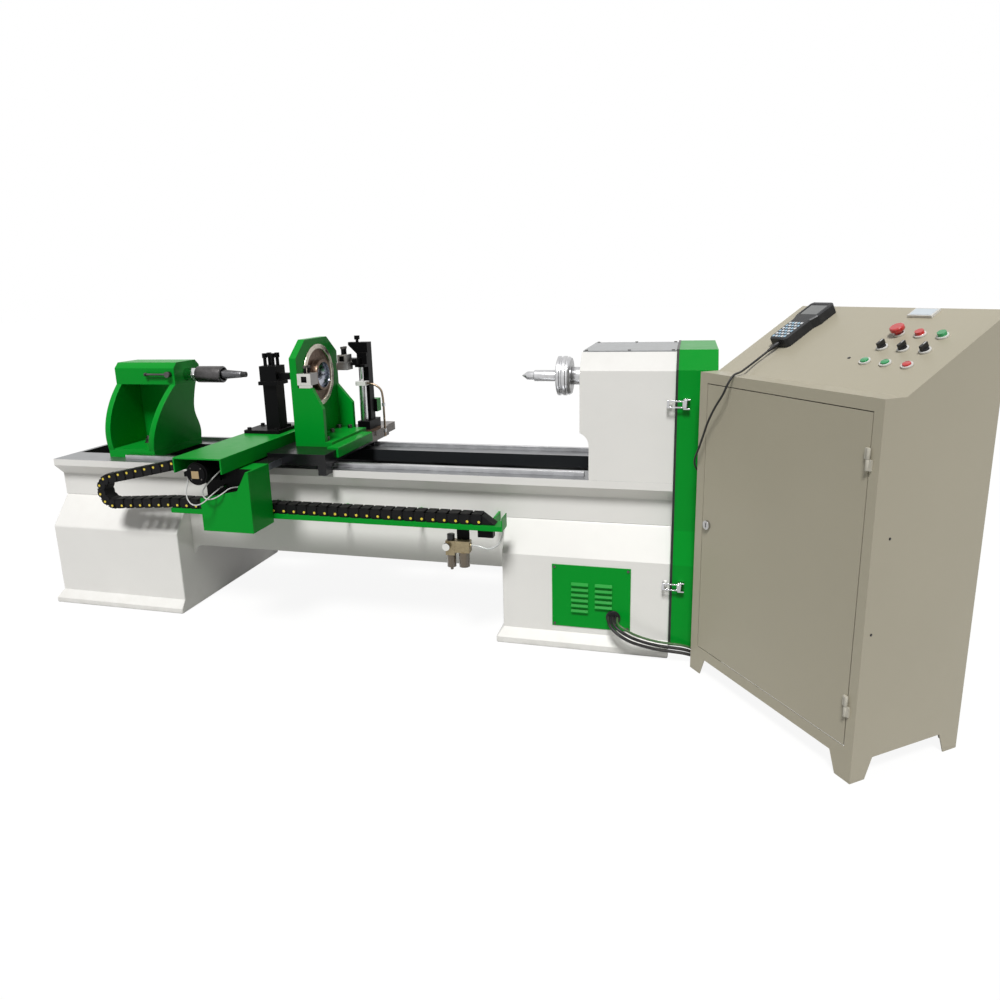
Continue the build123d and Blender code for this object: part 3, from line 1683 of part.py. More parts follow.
pendant -= Pos(pendant_x, screen_mid, pendant_thick) * Box(pendant_width - 22, 0.26 * pendant_length, 4)
pendant_boss = 16.0
pendant += Pos(pendant_x, pendant_low - 9, pendant_boss) * Rot(90, 0, 0) * Cylinder(7, 20)
save("pendant_body", cabinet_place * (panel_plane * pendant))

# Cable glands: vent grommet, cabinet floor gland, pendant socket, hose elbow
gland_x = 120.0
gland_y = 150.0
gland_height = 6.0
socket_x = -14.0
socket_y = 40.0
socket_z = 668.0
socket_length = 22.0
socket_size = 22.0
grommet_front = vent_front - 6
glands = [rod_y(cable_exit_x, grommet_front, vent_front, cable_exit_height, grommet_radius)]
glands.append(
    cabinet_place * rod_z(gland_x, gland_y, cabinet_floor - gland_height, cabinet_floor, 34)
)
socket_foot = socket_z - socket_length
socket_half = socket_size / 2
socket = block(
    socket_x - socket_half,
    0,
    socket_y - socket_half,
    socket_y + socket_half,
    socket_foot - socket_size,
    socket_foot + 1,
)
socket += rod_z(socket_x, socket_y, socket_foot, socket_z, 8)
glands.append(cabinet_place * socket)
save("cable_glands", joined(glands))


def to_world(point):
    turned = Vector(*point).rotate(Axis.Z, cabinet_turn)
    return (turned.X + cabinet_x, turned.Y + cabinet_y, turned.Z)


def panel_point(x, row, lift_off):
    spot = panel_plane.from_local_coords(Vector(x, row, lift_off))
    return to_world((spot.X, spot.Y, spot.Z))


# Power cables: from the vent grommet along the plinth, under the cabinet side to its floor gland
gland_low = cabinet_floor - gland_height
cable_set = []
for index, diameter in enumerate((power_diameter, power_diameter, earth_diameter)):
    side = (index - 1) * cable_spacing
    end_x = gland_x + 0.3 * side
    end_y = gland_y + 0.95 * side
    route = [
        (cable_exit_x + 0.8 * side, grommet_front, cable_exit_height),
        (cable_exit_x + 0.8 * side, grommet_front - 44, cable_exit_height),
        (154 + 0.64 * side, -378 + 0.24 * side, 123 + 0.4 * side),
        (197 + 0.3 * side, -378 + 0.52 * side, 98 + 0.5 * side),
        (246 + 0.12 * side, -366 + 0.45 * side, 78 + 0.52 * side),
        (296, -355 + 0.42 * side, 64 + 0.54 * side),
        (347, -346 + 0.42 * side, 57 + 0.54 * side),
        (396 - 0.05 * side, -338 + 0.42 * side, 51 + 0.54 * side),
        to_world((-24 - 0.46 * side, 50 + 0.18 * side, 31 + 0.43 * side)),
        to_world((-8 - 0.4 * side, 94 + 0.46 * side, 24 + 0.3 * side)),
        to_world((32 - 0.3 * side, 124 + 0.76 * side, 24 + 0.1 * side)),
        to_world((78, 140 + 0.93 * side, 31)),
        to_world((end_x - 8, end_y - 2, 60)),
        to_world((end_x, end_y, 87)),
        to_world((end_x, end_y, gland_low)),
    ]
    cable_set.append(tube("power cable " + str(index + 1), route, diameter))
hose_start_x = second_x + 30
hose_route = [
    (hose_start_x, air_y, air_top - 18),
    (hose_start_x + 28, air_y, air_top - 18),
    (hose_start_x + 58, air_y - 3, air_top - 29),
    (hose_start_x + 90, air_y - 3, air_top - 23),
    (hose_start_x + 114, air_y - 1, air_top - 2),
    (hose_start_x + 125, air_y, air_top + 27),
    (hose_start_x + 126, air_y, air_top + 49),
    (hose_start_x + 126, air_y, tray_low),
]
cable_set.append(tube("air hose", hose_route, hose_diameter))
save("power_cables", joined(cable_set))

# Pendant cord: over the ledge, down the door front, round the edge to the side socket
boss_end = panel_point(pendant_x, pendant_low - 19, pendant_boss)
cord_route = [
    boss_end,
    panel_point(pendant_x, 104, pendant_boss),
    panel_point(pendant_x - 4, 62, 13),
    to_world((137, 72, 1119)),
    to_world((157, 32, 1110)),
    to_world((172, -5, 1108)),
    to_world((172, -29, 1076)),
    to_world((156, -29, 1044)),
    to_world((117, -27, 1000)),
    to_world((80, -26, 943)),
    to_world((57, -25, 890)),
    to_world((33, -24, 838)),
    to_world((8, -20, 800)),
    to_world((-10, -4, 770)),
    to_world((-17, 20, 742)),
    to_world((-15, 37, 716)),
    to_world((socket_x, socket_y, socket_z + 22)),
    to_world((socket_x, socket_y, socket_z)),
]
save("pendant_cord", tube("pendant cord", cord_route, pendant_cord_diameter))

# Cross motor leads hanging in front of the apron
left_lead = [
    (lead_x, lead_y, lead_low),
    (lead_x, lead_y, lead_low - 24),
    (lead_x - 6, lead_y - 14, lead_low - 56),
    (lead_x + 6, lead_y - 25, lead_low - 92),
    (lead_x + 32, lead_y - 27, lead_low - 111),
    (lead_x + 66, lead_y - 18, lead_low - 103),
    (lead_x + 88, lead_y + 8, lead_low - 76),
    (left_entry_x - 3, lead_y + 38, left_entry_z - 6),
    (left_entry_x, notch_back - entry_length - 22, left_entry_z),
    (left_entry_x, notch_back - entry_length, left_entry_z),
]
cover_lead_x = cross_bed_right - 16
cover_lead_z = cross_motor_z + 17
right_lead = [
    (cover_lead_x, cross_bed_front, cover_lead_z),
    (cover_lead_x, cross_bed_front - 26, cover_lead_z),
    (cover_lead_x - 8, cross_bed_front - 52, cover_lead_z - 16),
    (cover_lead_x - 36, cross_bed_front - 64, cover_lead_z - 45),
    (cover_lead_x - 63, cross_bed_front - 67, cover_lead_z - 71),
    (cover_lead_x - 83, cross_bed_front - 67, cover_lead_z - 97),
    (cover_lead_x - 73, cross_bed_front - 66, cover_lead_z - 124),
    (cover_lead_x - 40, cross_bed_front - 64, cover_lead_z - 124),
    (cover_lead_x - 6, cross_bed_front - 54, cover_lead_z - 106),
    (notch_right - 42, right_entry_y, right_entry_z),
    (notch_right - 7, right_entry_y, right_entry_z),
]
leads = [tube("left lead", left_lead, lead_diameter), tube("right lead", right_lead, lead_diameter)]
save("cross_motor_leads", joined(leads))
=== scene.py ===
import math

import bmesh
import bpy
from mathutils import Matrix, Vector


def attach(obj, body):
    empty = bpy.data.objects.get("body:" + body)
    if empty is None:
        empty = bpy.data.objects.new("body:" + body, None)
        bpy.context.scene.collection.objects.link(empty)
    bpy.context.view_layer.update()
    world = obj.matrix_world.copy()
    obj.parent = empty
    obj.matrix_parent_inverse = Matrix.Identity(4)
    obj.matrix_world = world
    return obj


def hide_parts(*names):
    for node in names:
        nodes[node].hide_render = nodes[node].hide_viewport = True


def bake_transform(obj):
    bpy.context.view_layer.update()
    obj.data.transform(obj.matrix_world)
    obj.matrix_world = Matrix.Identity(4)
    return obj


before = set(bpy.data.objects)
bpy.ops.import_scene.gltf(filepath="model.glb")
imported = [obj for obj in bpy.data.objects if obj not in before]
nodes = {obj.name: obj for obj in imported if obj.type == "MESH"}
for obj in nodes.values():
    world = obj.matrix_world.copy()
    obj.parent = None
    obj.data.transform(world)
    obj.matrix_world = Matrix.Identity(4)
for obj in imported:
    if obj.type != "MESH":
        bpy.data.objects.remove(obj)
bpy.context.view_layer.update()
scene = bpy.context.scene
spindleHeight = 1.04
print("frame loaded,", len(nodes), "solids")

# camera where the photographer stood
photoView = {
    "place": (0.380, -2.990, 1.400),
    "right": (0.9665, 0.2554, -0.0267),
    "up": (-0.0326, 0.2252, 0.9737),
    "lens": 26.712,
    "sensor": 36.0,
    "shift": (0.009, -0.041),
    "farthest": 200.0,
}


def makeCamera(view):
    right = Vector(view["right"]).normalized()
    back = right.cross(Vector(view["up"])).normalized()
    up = back.cross(right)
    data = bpy.data.cameras.new("photoCamera")
    data.lens = view["lens"]
    data.sensor_width = view["sensor"]
    data.shift_x, data.shift_y = view["shift"]
    data.clip_end = view["farthest"]
    camera = bpy.data.objects.new("photoCamera", data)
    scene.collection.objects.link(camera)
    turn = Matrix((right, up, back)).transposed().to_4x4()
    camera.matrix_world = Matrix.Translation(view["place"]) @ turn
    scene.camera = camera


makeCamera(photoView)
scene.view_settings.view_transform = "Standard"
print("camera placed")


# node building: a socket is linked, any other value is set
def feed(tree, node, sockets):
    for name, value in sockets.items():
        target = node.inputs[name]
        if isinstance(value, bpy.types.NodeSocket):
            tree.links.new(value, target)
        else:
            target.default_value = value


def addNode(tree, kind, settings=None, sockets=None):
    made = tree.nodes.new("ShaderNode" + kind)
    for name, value in (settings or {}).items():
        setattr(made, name, value)
    feed(tree, made, sockets or {})
    return made


def calc(tree, operation, first, second=None, clamp=False):
    sockets = {0: first} if second is None else {0: first, 1: second}
    return addNode(tree, "Math", {"operation": operation, "use_clamp": clamp}, sockets).outputs[0]


def rangeMap(tree, value, low, high, toLow=0.0, toHigh=1.0):
    return addNode(tree, "MapRange", None, {
        "Value": value, "From Min": low, "From Max": high, "To Min": toLow, "To Max": toHigh,
    }).outputs["Result"]


# one range, kept only where patches of noise leave it
def patched(tree, value, span, patch, patchSpan):
    return calc(tree, "MULTIPLY", rangeMap(tree, value, *span), rangeMap(tree, patch, *patchSpan))


# noise about its middle, scaled
def swing(tree, value, amount):
    return calc(tree, "MULTIPLY", calc(tree, "SUBTRACT", value, 0.5), amount)


def mixColor(tree, share, first, second):
    return addNode(tree, "Mix", {"data_type": "RGBA"}, {0: share, 6: first, 7: second}).outputs[2]


def rgba(color):
    return (color[0], color[1], color[2], 1.0)


def split(tree, vector):
    return addNode(tree, "SeparateXYZ", None, {"Vector": vector}).outputs


def objectCoord(tree):
    return addNode(tree, "TexCoord").outputs["Object"]


def noise(tree, coord, scale, detail, roughness):
    return addNode(tree, "TexNoise", None, {
        "Vector": coord, "Scale": scale, "Detail": detail, "Roughness": roughness,
    }).outputs["Fac"]


def newGroup(name, inputs, outputs):
    group = bpy.data.node_groups.new(name, "ShaderNodeTree")
    for label, kind, value in inputs:
        socket = group.interface.new_socket(name=label, in_out="INPUT", socket_type="NodeSocket" + kind)
        socket.default_value = value
    for label, kind in outputs:
        group.interface.new_socket(name=label, in_out="OUTPUT", socket_type="NodeSocket" + kind)
    given = group.nodes.new("NodeGroupInput").outputs
    return group, given, group.nodes.new("NodeGroupOutput")


# tone drift, settled dust, and painted shade in corners found by occlusion, which also dulls the roughness there
filmShape = {
    "broadScale": 3.2, "patchScale": 17.0, "upward": (0.35, 1.0), "dustPatch": (0.3, 0.72),
    "splashHeight": (0.13, 0.0), "splashPatch": (0.36, 0.66), "cornerReach": 0.035, "cornerSamples": 6,
    "corner": (0.72, 0.22), "cornerPatch": (0.28, 0.62), "cornerDull": 0.6, "cornerShadeColor": (0.045, 0.04, 0.034),
}


def makeFilmGroup(shape):
    group, given, out = newGroup(
        "surfaceFilm",
        [("Color", "Color", (0.8, 0.8, 0.8, 1)), ("Dust Color", "Color", (0.5, 0.46, 0.4, 1)),
         ("Dust", "Float", 0.15), ("Drift", "Float", 0.06), ("Corner Shade", "Float", 0.25)],
        [("Color", "Color"), ("Dull", "Float")],
    )
    coord = objectCoord(group)
    patch = noise(group, coord, shape["patchScale"], detail=5.0, roughness=0.62)
    drift = swing(group, noise(group, coord, shape["broadScale"], detail=4.0, roughness=0.55), given["Drift"])
    bright = calc(group, "ADD", 1.0, calc(group, "MULTIPLY", drift, 2.0))  # the swing is half either way
    toned = addNode(group, "HueSaturation", None, {"Color": given["Color"], "Value": bright}).outputs["Color"]
    normal = split(group, addNode(group, "NewGeometry").outputs["Normal"])
    dusty = patched(group, normal["Z"], shape["upward"], patch, shape["dustPatch"])
    splash = patched(group, split(group, coord)["Z"], shape["splashHeight"], patch, shape["splashPatch"])
    dusty = calc(group, "MULTIPLY", calc(group, "MAXIMUM", dusty, splash), given["Dust"], True)
    # corners found by occlusion get a painted shade in near-black, plus duller roughness
    hidden = addNode(
        group, "AmbientOcclusion", {"samples": shape["cornerSamples"]}, {"Distance": shape["cornerReach"]},
    ).outputs["AO"]
    corner = patched(group, hidden, shape["corner"], patch, shape["cornerPatch"])
    corner = calc(group, "MULTIPLY", corner, given["Corner Shade"], True)
    withDust = mixColor(group, dusty, toned, given["Dust Color"])
    feed(group, out, {
        "Color": mixColor(group, corner, withDust, rgba(shape["cornerShadeColor"])),
        "Dull": calc(group, "ADD", dusty, calc(group, "MULTIPLY", corner, shape["cornerDull"]), True),
    })
    return group


# worn line along outside edges
edgeShape = {"samples": 4, "facing": (0.995, 0.90), "chipScale": 95.0, "chips": (0.44, 0.64)}


def makeEdgeGroup(shape):
    group, given, out = newGroup(
        "edgeRub",
        [("Width", "Float", 0.002), ("Amount", "Float", 0.5)],
        [("Mask", "Float")],
    )
    rounded = addNode(group, "Bevel", {"samples": shape["samples"]}, {"Radius": given["Width"]}).outputs["Normal"]
    plain = addNode(group, "NewGeometry").outputs["Normal"]
    facing = addNode(group, "VectorMath", {"operation": "DOT_PRODUCT"}, {0: rounded, 1: plain}).outputs["Value"]
    chips = noise(group, objectCoord(group), shape["chipScale"], detail=6.0, roughness=0.7)
    worn = patched(group, facing, shape["facing"], chips, shape["chips"])
    feed(group, out, {"Mask": calc(group, "MULTIPLY", worn, given["Amount"], True)})
    return group


# brushed enamel or sprayed coat, seen as faint ripples
coatShape = {"waveScale": 9.0, "waveShare": 2.2, "smearScale": 26.0, "dullShare": 0.4}


def makeCoatGroup(shape):
    group, given, out = newGroup(
        "sprayRipple",
        [("Scale", "Float", 260.0), ("Roughness", "Float", 0.35), ("Spread", "Float", 0.1), ("Dull", "Float", 0.0)],
        [("Roughness", "Float"), ("Height", "Float")],
    )
    coord = objectCoord(group)
    ripple = noise(group, coord, given["Scale"], detail=2.0, roughness=0.5)
    wave = noise(group, coord, shape["waveScale"], detail=2.0, roughness=0.4)
    change = swing(group, noise(group, coord, shape["smearScale"], detail=4.0, roughness=0.6), given["Spread"])
    rough = calc(group, "ADD", given["Roughness"], calc(group, "MULTIPLY", change, 2.0))
    feed(group, out, {
        "Roughness": calc(group, "ADD", rough, calc(group, "MULTIPLY", given["Dull"], shape["dullShare"]), True),
        "Height": calc(group, "ADD", ripple, calc(group, "MULTIPLY", wave, shape["waveShare"])),
    })
    return group


# tone, roughness and height from tool marks and old stains
def closeMarks(group, given, out, coord, marks, shape):
    stain = noise(group, coord, shape["stainScale"], detail=5.0, roughness=shape["stainGrain"])
    rough = calc(group, "ADD", given["Roughness"], swing(group, marks, given["Spread"]))
    dulled = rangeMap(group, stain, *shape["stain"], 0.0, shape["stainRoughness"])
    markTone = calc(group, "MULTIPLY", marks, shape["markShare"])
    stainTone = calc(group, "MULTIPLY", stain, 1.0 - shape["markShare"])
    feed(group, out, {
        "Tone": calc(group, "ADD", markTone, stainTone),
        "Roughness": calc(group, "ADD", rough, dulled, True),
        "Height": marks,
    })
    return group


# ground or milled lines, stretched along one direction
millShape = {
    "stainScale": 21.0, "stainGrain": 0.65, "stain": (0.45, 0.75), "stainRoughness": 0.12, "markShare": 0.45,
}


def makeMillGroup(shape):
    group, given, out = newGroup(
        "millMarks",
        [("Stretch", "Vector", (4.0, 900.0, 900.0)), ("Roughness", "Float", 0.3), ("Spread", "Float", 0.15)],
        [("Tone", "Float"), ("Roughness", "Float"), ("Height", "Float")],
    )
    coord = objectCoord(group)
    pulled = addNode(group, "VectorMath", {"operation": "MULTIPLY"}, {0: coord, 1: given["Stretch"]})
    lines = noise(group, pulled.outputs["Vector"], 1.0, detail=3.0, roughness=0.6)
    return closeMarks(group, given, out, coord, lines, shape)


# rings left by turning about a line parallel to X
turnShape = {
    "stainScale": 30.0, "stainGrain": 0.66, "stain": (0.48, 0.78), "stainRoughness": 0.16, "markShare": 0.4,
}


def makeTurnGroup(shape):
    group, given, out = newGroup(
        "turnMarks",
        [("Axis Y", "Float", 0.0), ("Axis Z", "Float", spindleHeight), ("Pitch", "Float", 1400.0),
         ("Roughness", "Float", 0.28), ("Spread", "Float", 0.18)],
        [("Tone", "Float"), ("Roughness", "Float"), ("Height", "Float")],
    )
    coord = objectCoord(group)
    part = split(group, coord)
    across = calc(group, "SUBTRACT", part["Y"], given["Axis Y"])
    above = calc(group, "SUBTRACT", part["Z"], given["Axis Z"])
    squares = [calc(group, "MULTIPLY", side, side) for side in (across, above)]
    radius = calc(group, "SQRT", calc(group, "ADD", *squares))
    along = addNode(group, "CombineXYZ", None, {"X": part["X"], "Y": radius}).outputs["Vector"]
    rings = noise(group, along, given["Pitch"], detail=2.0, roughness=0.5)
    return closeMarks(group, given, out, coord, rings, shape)


# moulded grain of plastic and rubber
grainShape = {"hazeScale": 34.0, "haze": (0.42, 0.75), "hazeColor": (0.42, 0.4, 0.37), "hazeSwing": 0.25}


def makeGrainGroup(shape):
    group, given, out = newGroup(
        "mouldGrain",
        [("Color", "Color", (0.05, 0.05, 0.05, 1)), ("Scale", "Float", 700.0),
         ("Roughness", "Float", 0.5), ("Haze", "Float", 0.1)],
        [("Color", "Color"), ("Roughness", "Float"), ("Height", "Float")],
    )
    coord = objectCoord(group)
    haze = noise(group, coord, shape["hazeScale"], detail=5.0, roughness=0.65)
    share = calc(group, "MULTIPLY", rangeMap(group, haze, *shape["haze"]), given["Haze"], True)
    feed(group, out, {
        "Color": mixColor(group, share, given["Color"], rgba(shape["hazeColor"])),
        "Roughness": calc(group, "ADD", given["Roughness"], swing(group, haze, shape["hazeSwing"]), True),
        "Height": noise(group, coord, given["Scale"], detail=2.0, roughness=0.5),
    })
    return group


# soft-edged box in the object's own frame, ragged along its border
regionShape = {"raggedScale": 38.0}


def makeRegionGroup(shape):
    group, given, out = newGroup(
        "regionMask",
        [("Low", "Vector", (0.0, 0.0, 0.0)), ("High", "Vector", (1.0, 1.0, 1.0)), ("Soft", "Float", 0.02)],
        [("Mask", "Float")],
    )
    coord = objectCoord(group)
    ragged = swing(group, noise(group, coord, shape["raggedScale"], detail=4.0, roughness=0.6), given["Soft"])
    below, above, spot = (split(group, vector) for vector in (given["Low"], given["High"], coord))
    mask = 1.0
    for axis in "XYZ":
        moved = calc(group, "ADD", spot[axis], ragged)
        rise = calc(group, "DIVIDE", calc(group, "SUBTRACT", moved, below[axis]), given["Soft"], True)
        fall = calc(group, "DIVIDE", calc(group, "SUBTRACT", above[axis], moved), given["Soft"], True)
        mask = calc(group, "MULTIPLY", calc(group, "MULTIPLY", rise, fall), mask)
    feed(group, out, {"Mask": mask})
    return group


groups = {
    "region": makeRegionGroup(regionShape),
    "film": makeFilmGroup(filmShape),
    "edge": makeEdgeGroup(edgeShape),
    "coat": makeCoatGroup(coatShape),
    "mill": makeMillGroup(millShape),
    "turn": makeTurnGroup(turnShape),
    "grain": makeGrainGroup(grainShape),
}


def useGroup(tree, name, sockets):
    return addNode(tree, "Group", {"node_tree": groups[name]}, sockets).outputs


def useFilm(tree, color, look):
    return useGroup(tree, "film", {
        "Color": color, "Dust Color": rgba(look["dustColor"]), "Dust": look["dust"],
        "Drift": look["drift"], "Corner Shade": look["cornerShade"],
    })


def newMaterial(name):
    material = bpy.data.materials.new(name)
    material.use_nodes = True
    tree = material.node_tree
    tree.nodes.clear()
    shader = tree.nodes.new("ShaderNodeBsdfPrincipled")
    output = tree.nodes.new("ShaderNodeOutputMaterial")
    tree.links.new(shader.outputs["BSDF"], output.inputs["Surface"])
    return material, tree, shader


def bumped(tree, height, distance, strength):
    sockets = {"Height": height, "Distance": distance, "Strength": strength}
    return addNode(tree, "Bump", None, sockets).outputs["Normal"]


# oily patch inside a soft-edged box
def addStain(tree, color, stain):
    region = useGroup(tree, "region", stain["box"])
    spots = rangeMap(tree, noise(tree, objectCoord(tree), stain["scale"], detail=5.0, roughness=0.7), *stain["spots"])
    oily = mixColor(tree, spots, rgba(stain["color"]), rgba(stain["dark"]))
    return mixColor(tree, region["Mask"], color, oily)


# sprayed or brushed paint over metal, rubbed through at the edges
def paintFinish(name, look):
    material, tree, shader = newMaterial(name)
    film = useFilm(tree, rgba(look["color"]), look)
    coat = useGroup(tree, "coat", {
        "Scale": look["rippleScale"], "Roughness": look["roughness"], "Spread": look["spread"], "Dull": film["Dull"],
    })
    rub = useGroup(tree, "edge", {"Width": look["edgeWidth"], "Amount": look["edgeWear"]})
    color = mixColor(tree, rub["Mask"], film["Color"], rgba(look["underColor"]))
    if "stain" in look:
        color = addStain(tree, color, look["stain"])
    feed(tree, shader, {
        "Base Color": color, "Roughness": coat["Roughness"], "Specular IOR Level": look["specular"],
        "Coat Weight": look["gloss"], "Coat Roughness": look["glossRoughness"],
        "Normal": bumped(tree, coat["Height"], look["rippleDepth"], look["rippleStrength"]),
    })
    return material


def metalFinish(name, look):
    material, tree, shader = newMaterial(name)
    sockets = {"Roughness": look["roughness"], "Spread": look["spread"]}
    if look["marks"] == "turn":
        sockets.update({"Axis Y": look["axis"][0], "Axis Z": look["axis"][1], "Pitch": look["pitch"]})
    else:
        sockets["Stretch"] = look["stretch"]
    marks = useGroup(tree, look["marks"], sockets)
    tone = rangeMap(tree, marks["Tone"], *look["toneSpan"])
    film = useFilm(tree, mixColor(tree, tone, rgba(look["dark"]), rgba(look["color"])), look)
    rub = useGroup(tree, "edge", {"Width": look["edgeWidth"], "Amount": look["edgeWear"]})
    feed(tree, shader, {
        "Base Color": mixColor(tree, rub["Mask"], film["Color"], rgba(look["bright"])),
        "Roughness": marks["Roughness"], "Metallic": look["metallic"],
        "Normal": bumped(tree, marks["Height"], look["markDepth"], look["markStrength"]),
    })
    return material


def plasticFinish(name, look):
    material, tree, shader = newMaterial(name)
    grain = useGroup(tree, "grain", {
        "Color": rgba(look["color"]), "Scale": look["grainScale"],
        "Roughness": look["roughness"], "Haze": look["haze"],
    })
    feed(tree, shader, {
        "Base Color": useFilm(tree, grain["Color"], look)["Color"], "Roughness": grain["Roughness"],
        "Coat Weight": look["gloss"], "Transmission Weight": look["clear"], "Specular IOR Level": look["specular"],
        "Normal": bumped(tree, grain["Height"], look["grainDepth"], look["grainStrength"]),
    })
    return material


paintLook = {
    "dustColor": (0.42, 0.38, 0.32), "dust": 0.10, "drift": 0.05, "cornerShade": 0.25, "rippleScale": 260.0,
    "roughness": 0.33, "spread": 0.08, "edgeWidth": 0.0022, "edgeWear": 0.35, "underColor": (0.35, 0.34, 0.33),
    "gloss": 0.15, "glossRoughness": 0.18, "specular": 0.4, "rippleDepth": 0.0004, "rippleStrength": 0.10,
}
metalLook = {
    "marks": "mill", "stretch": (4.0, 900.0, 900.0), "roughness": 0.30, "spread": 0.16, "color": (0.62, 0.62, 0.63),
    "dark": (0.44, 0.44, 0.45), "bright": (0.75, 0.75, 0.76), "toneSpan": (0.3, 0.7), "metallic": 1.0,
    "dustColor": (0.34, 0.28, 0.2), "dust": 0.06, "drift": 0.05, "cornerShade": 0.35, "edgeWidth": 0.0014, "edgeWear": 0.3,
    "markDepth": 0.0002, "markStrength": 0.12, "axis": (0.0, spindleHeight), "pitch": 1400.0,
}
plasticLook = {
    "grainScale": 900.0, "roughness": 0.45, "haze": 0.05, "dustColor": (0.4, 0.36, 0.3), "dust": 0.10, "drift": 0.04,
    "cornerShade": 0.15, "gloss": 0.0, "clear": 0.0, "specular": 0.5, "grainDepth": 0.0002, "grainStrength": 0.18,
}
paints = {
    "bedWhite": {"color": (0.80, 0.79, 0.76), "dust": 0.14, "cornerShade": 0.35, "edgeWear": 0.3},
    "latheGreen": {"color": (0.0, 0.285, 0.022), "underColor": (0.01, 0.15, 0.03), "gloss": 0.04, "roughness": 0.34,
        "specular": 0.08, "edgeWear": 0.12, "dust": 0.02, "rippleScale": 170.0},
    # headstock lid grey: painted shade standing in for the white top in shade
    "lidGrey": {"color": (0.25, 0.262, 0.27), "underColor": (0.5, 0.5, 0.5), "dust": 0.16},
    "consoleBeige": {"color": (0.43, 0.395, 0.30), "underColor": (0.6, 0.58, 0.5), "gloss": 0.08, "roughness": 0.42,
        "edgeWear": 0.2, "dust": 0.05, "cornerShade": 0.3, "drift": 0.035, "rippleScale": 620.0,
        "rippleStrength": 0.2},
    "postBlack": {"color": (0.0035, 0.0035, 0.004), "underColor": (0.08, 0.076, 0.072), "gloss": 0.01,
        "roughness": 0.40, "specular": 0.06, "edgeWear": 0.4, "dust": 0.015, "cornerShade": 0.1,
        "rippleScale": 420.0, "rippleStrength": 0.2},
    "saddleBlack": {"color": (0.006, 0.006, 0.007), "underColor": (0.12, 0.11, 0.105), "gloss": 0.08, "roughness": 0.22,
        "specular": 0.25, "edgeWear": 0.4, "dust": 0.02, "cornerShade": 0.1, "rippleScale": 420.0,
        "rippleStrength": 0.12,
        "stain": {"color": (0.125, 0.080, 0.052), "dark": (0.028, 0.019, 0.014), "scale": 60.0,
            "spots": (0.35, 0.68),
            "box": {"Low": (-1.26, 0.118, 0.700), "High": (-1.00, 0.60, 0.80), "Soft": 0.012}}},
    "hingePale": {"color": (0.50, 0.475, 0.40), "underColor": (0.6, 0.6, 0.58), "gloss": 0.2, "roughness": 0.3,
        "edgeWear": 0.5},
    "motorGrey": {"color": (0.20, 0.22, 0.24), "dust": 0.2, "roughness": 0.45},
    # near black inside the bed gap: painted shade over the white bed paint
    "troughGrey": {"color": (0.020, 0.022, 0.024), "underColor": (0.12, 0.12, 0.12), "specular": 0.2, "dust": 0.06,
        "cornerShade": 0.6},
}
metals = {
    "groundSteel": {},
    "wayIron": {"color": (0.40, 0.41, 0.42), "dark": (0.22, 0.225, 0.235), "bright": (0.6, 0.6, 0.62),
        "roughness": 0.36},
    # steel with a bluish-grey tone that is a painted reflection
    "bridgeSteel": {"stretch": (40.0, 40.0, 500.0), "color": (0.34, 0.37, 0.41), "dark": (0.16, 0.18, 0.21),
        "roughness": 0.34},
    "turnedSteel": {"marks": "turn", "color": (0.66, 0.66, 0.67), "dark": (0.46, 0.46, 0.47)},
    "blueSteel": {"marks": "turn", "color": (0.12, 0.115, 0.115), "dark": (0.06, 0.058, 0.058),
        "bright": (0.4, 0.39, 0.38), "roughness": 0.36, "edgeWear": 0.5},
    "taperGrey": {"marks": "turn", "color": (0.15, 0.15, 0.155), "dark": (0.075, 0.075, 0.08)},
    "ringRim": {"marks": "turn", "color": (0.66, 0.62, 0.54), "dark": (0.34, 0.29, 0.23),
        "bright": (0.85, 0.83, 0.78), "roughness": 0.24, "edgeWear": 0.6, "spread": 0.2},
    "ringOil": {"marks": "turn", "color": (0.17, 0.115, 0.082), "dark": (0.055, 0.036, 0.027),
        "bright": (0.5, 0.45, 0.4), "roughness": 0.28, "edgeWear": 0.4, "spread": 0.2},
    # bore steel tinted bluish: the blue is a painted reflection
    "boreBlue": {"marks": "turn", "color": (0.50, 0.53, 0.60), "dark": (0.22, 0.23, 0.27), "roughness": 0.18,
        "spread": 0.14},
    "quillChrome": {"marks": "turn", "color": (0.78, 0.78, 0.79), "dark": (0.66, 0.66, 0.67), "roughness": 0.14,
        "spread": 0.08},
    "latchChrome": {"stretch": (300.0, 300.0, 20.0), "dark": (0.40, 0.40, 0.41), "roughness": 0.16, "spread": 0.1},
    "toolAlloy": {"stretch": (260.0, 8.0, 900.0), "color": (0.70, 0.69, 0.66), "dark": (0.52, 0.51, 0.48),
        "roughness": 0.36},
    # dark copy of the tool alloy for right-facing faces: painted shade
    "holderGrey": {"stretch": (260.0, 8.0, 900.0), "color": (0.28, 0.27, 0.26), "dark": (0.15, 0.145, 0.14),
        "roughness": 0.36},
    "cylinderAlloy": {"stretch": (500.0, 500.0, 6.0), "color": (0.74, 0.74, 0.75), "dark": (0.58, 0.58, 0.6),
        "roughness": 0.26},
    "pipeBrown": {"stretch": (300.0, 300.0, 30.0), "color": (0.36, 0.28, 0.20), "dark": (0.20, 0.15, 0.11)},
    "oiledIron": {"stretch": (160.0, 160.0, 160.0), "color": (0.12, 0.115, 0.11), "dark": (0.06, 0.055, 0.05),
        "bright": (0.36, 0.35, 0.34), "roughness": 0.42, "edgeWear": 0.5, "dust": 0.1},
    "valveBrass": {"stretch": (200.0, 200.0, 200.0), "color": (0.40, 0.33, 0.20), "dark": (0.20, 0.16, 0.10),
        "bright": (0.7, 0.6, 0.4), "roughness": 0.32, "metallic": 0.85},
}
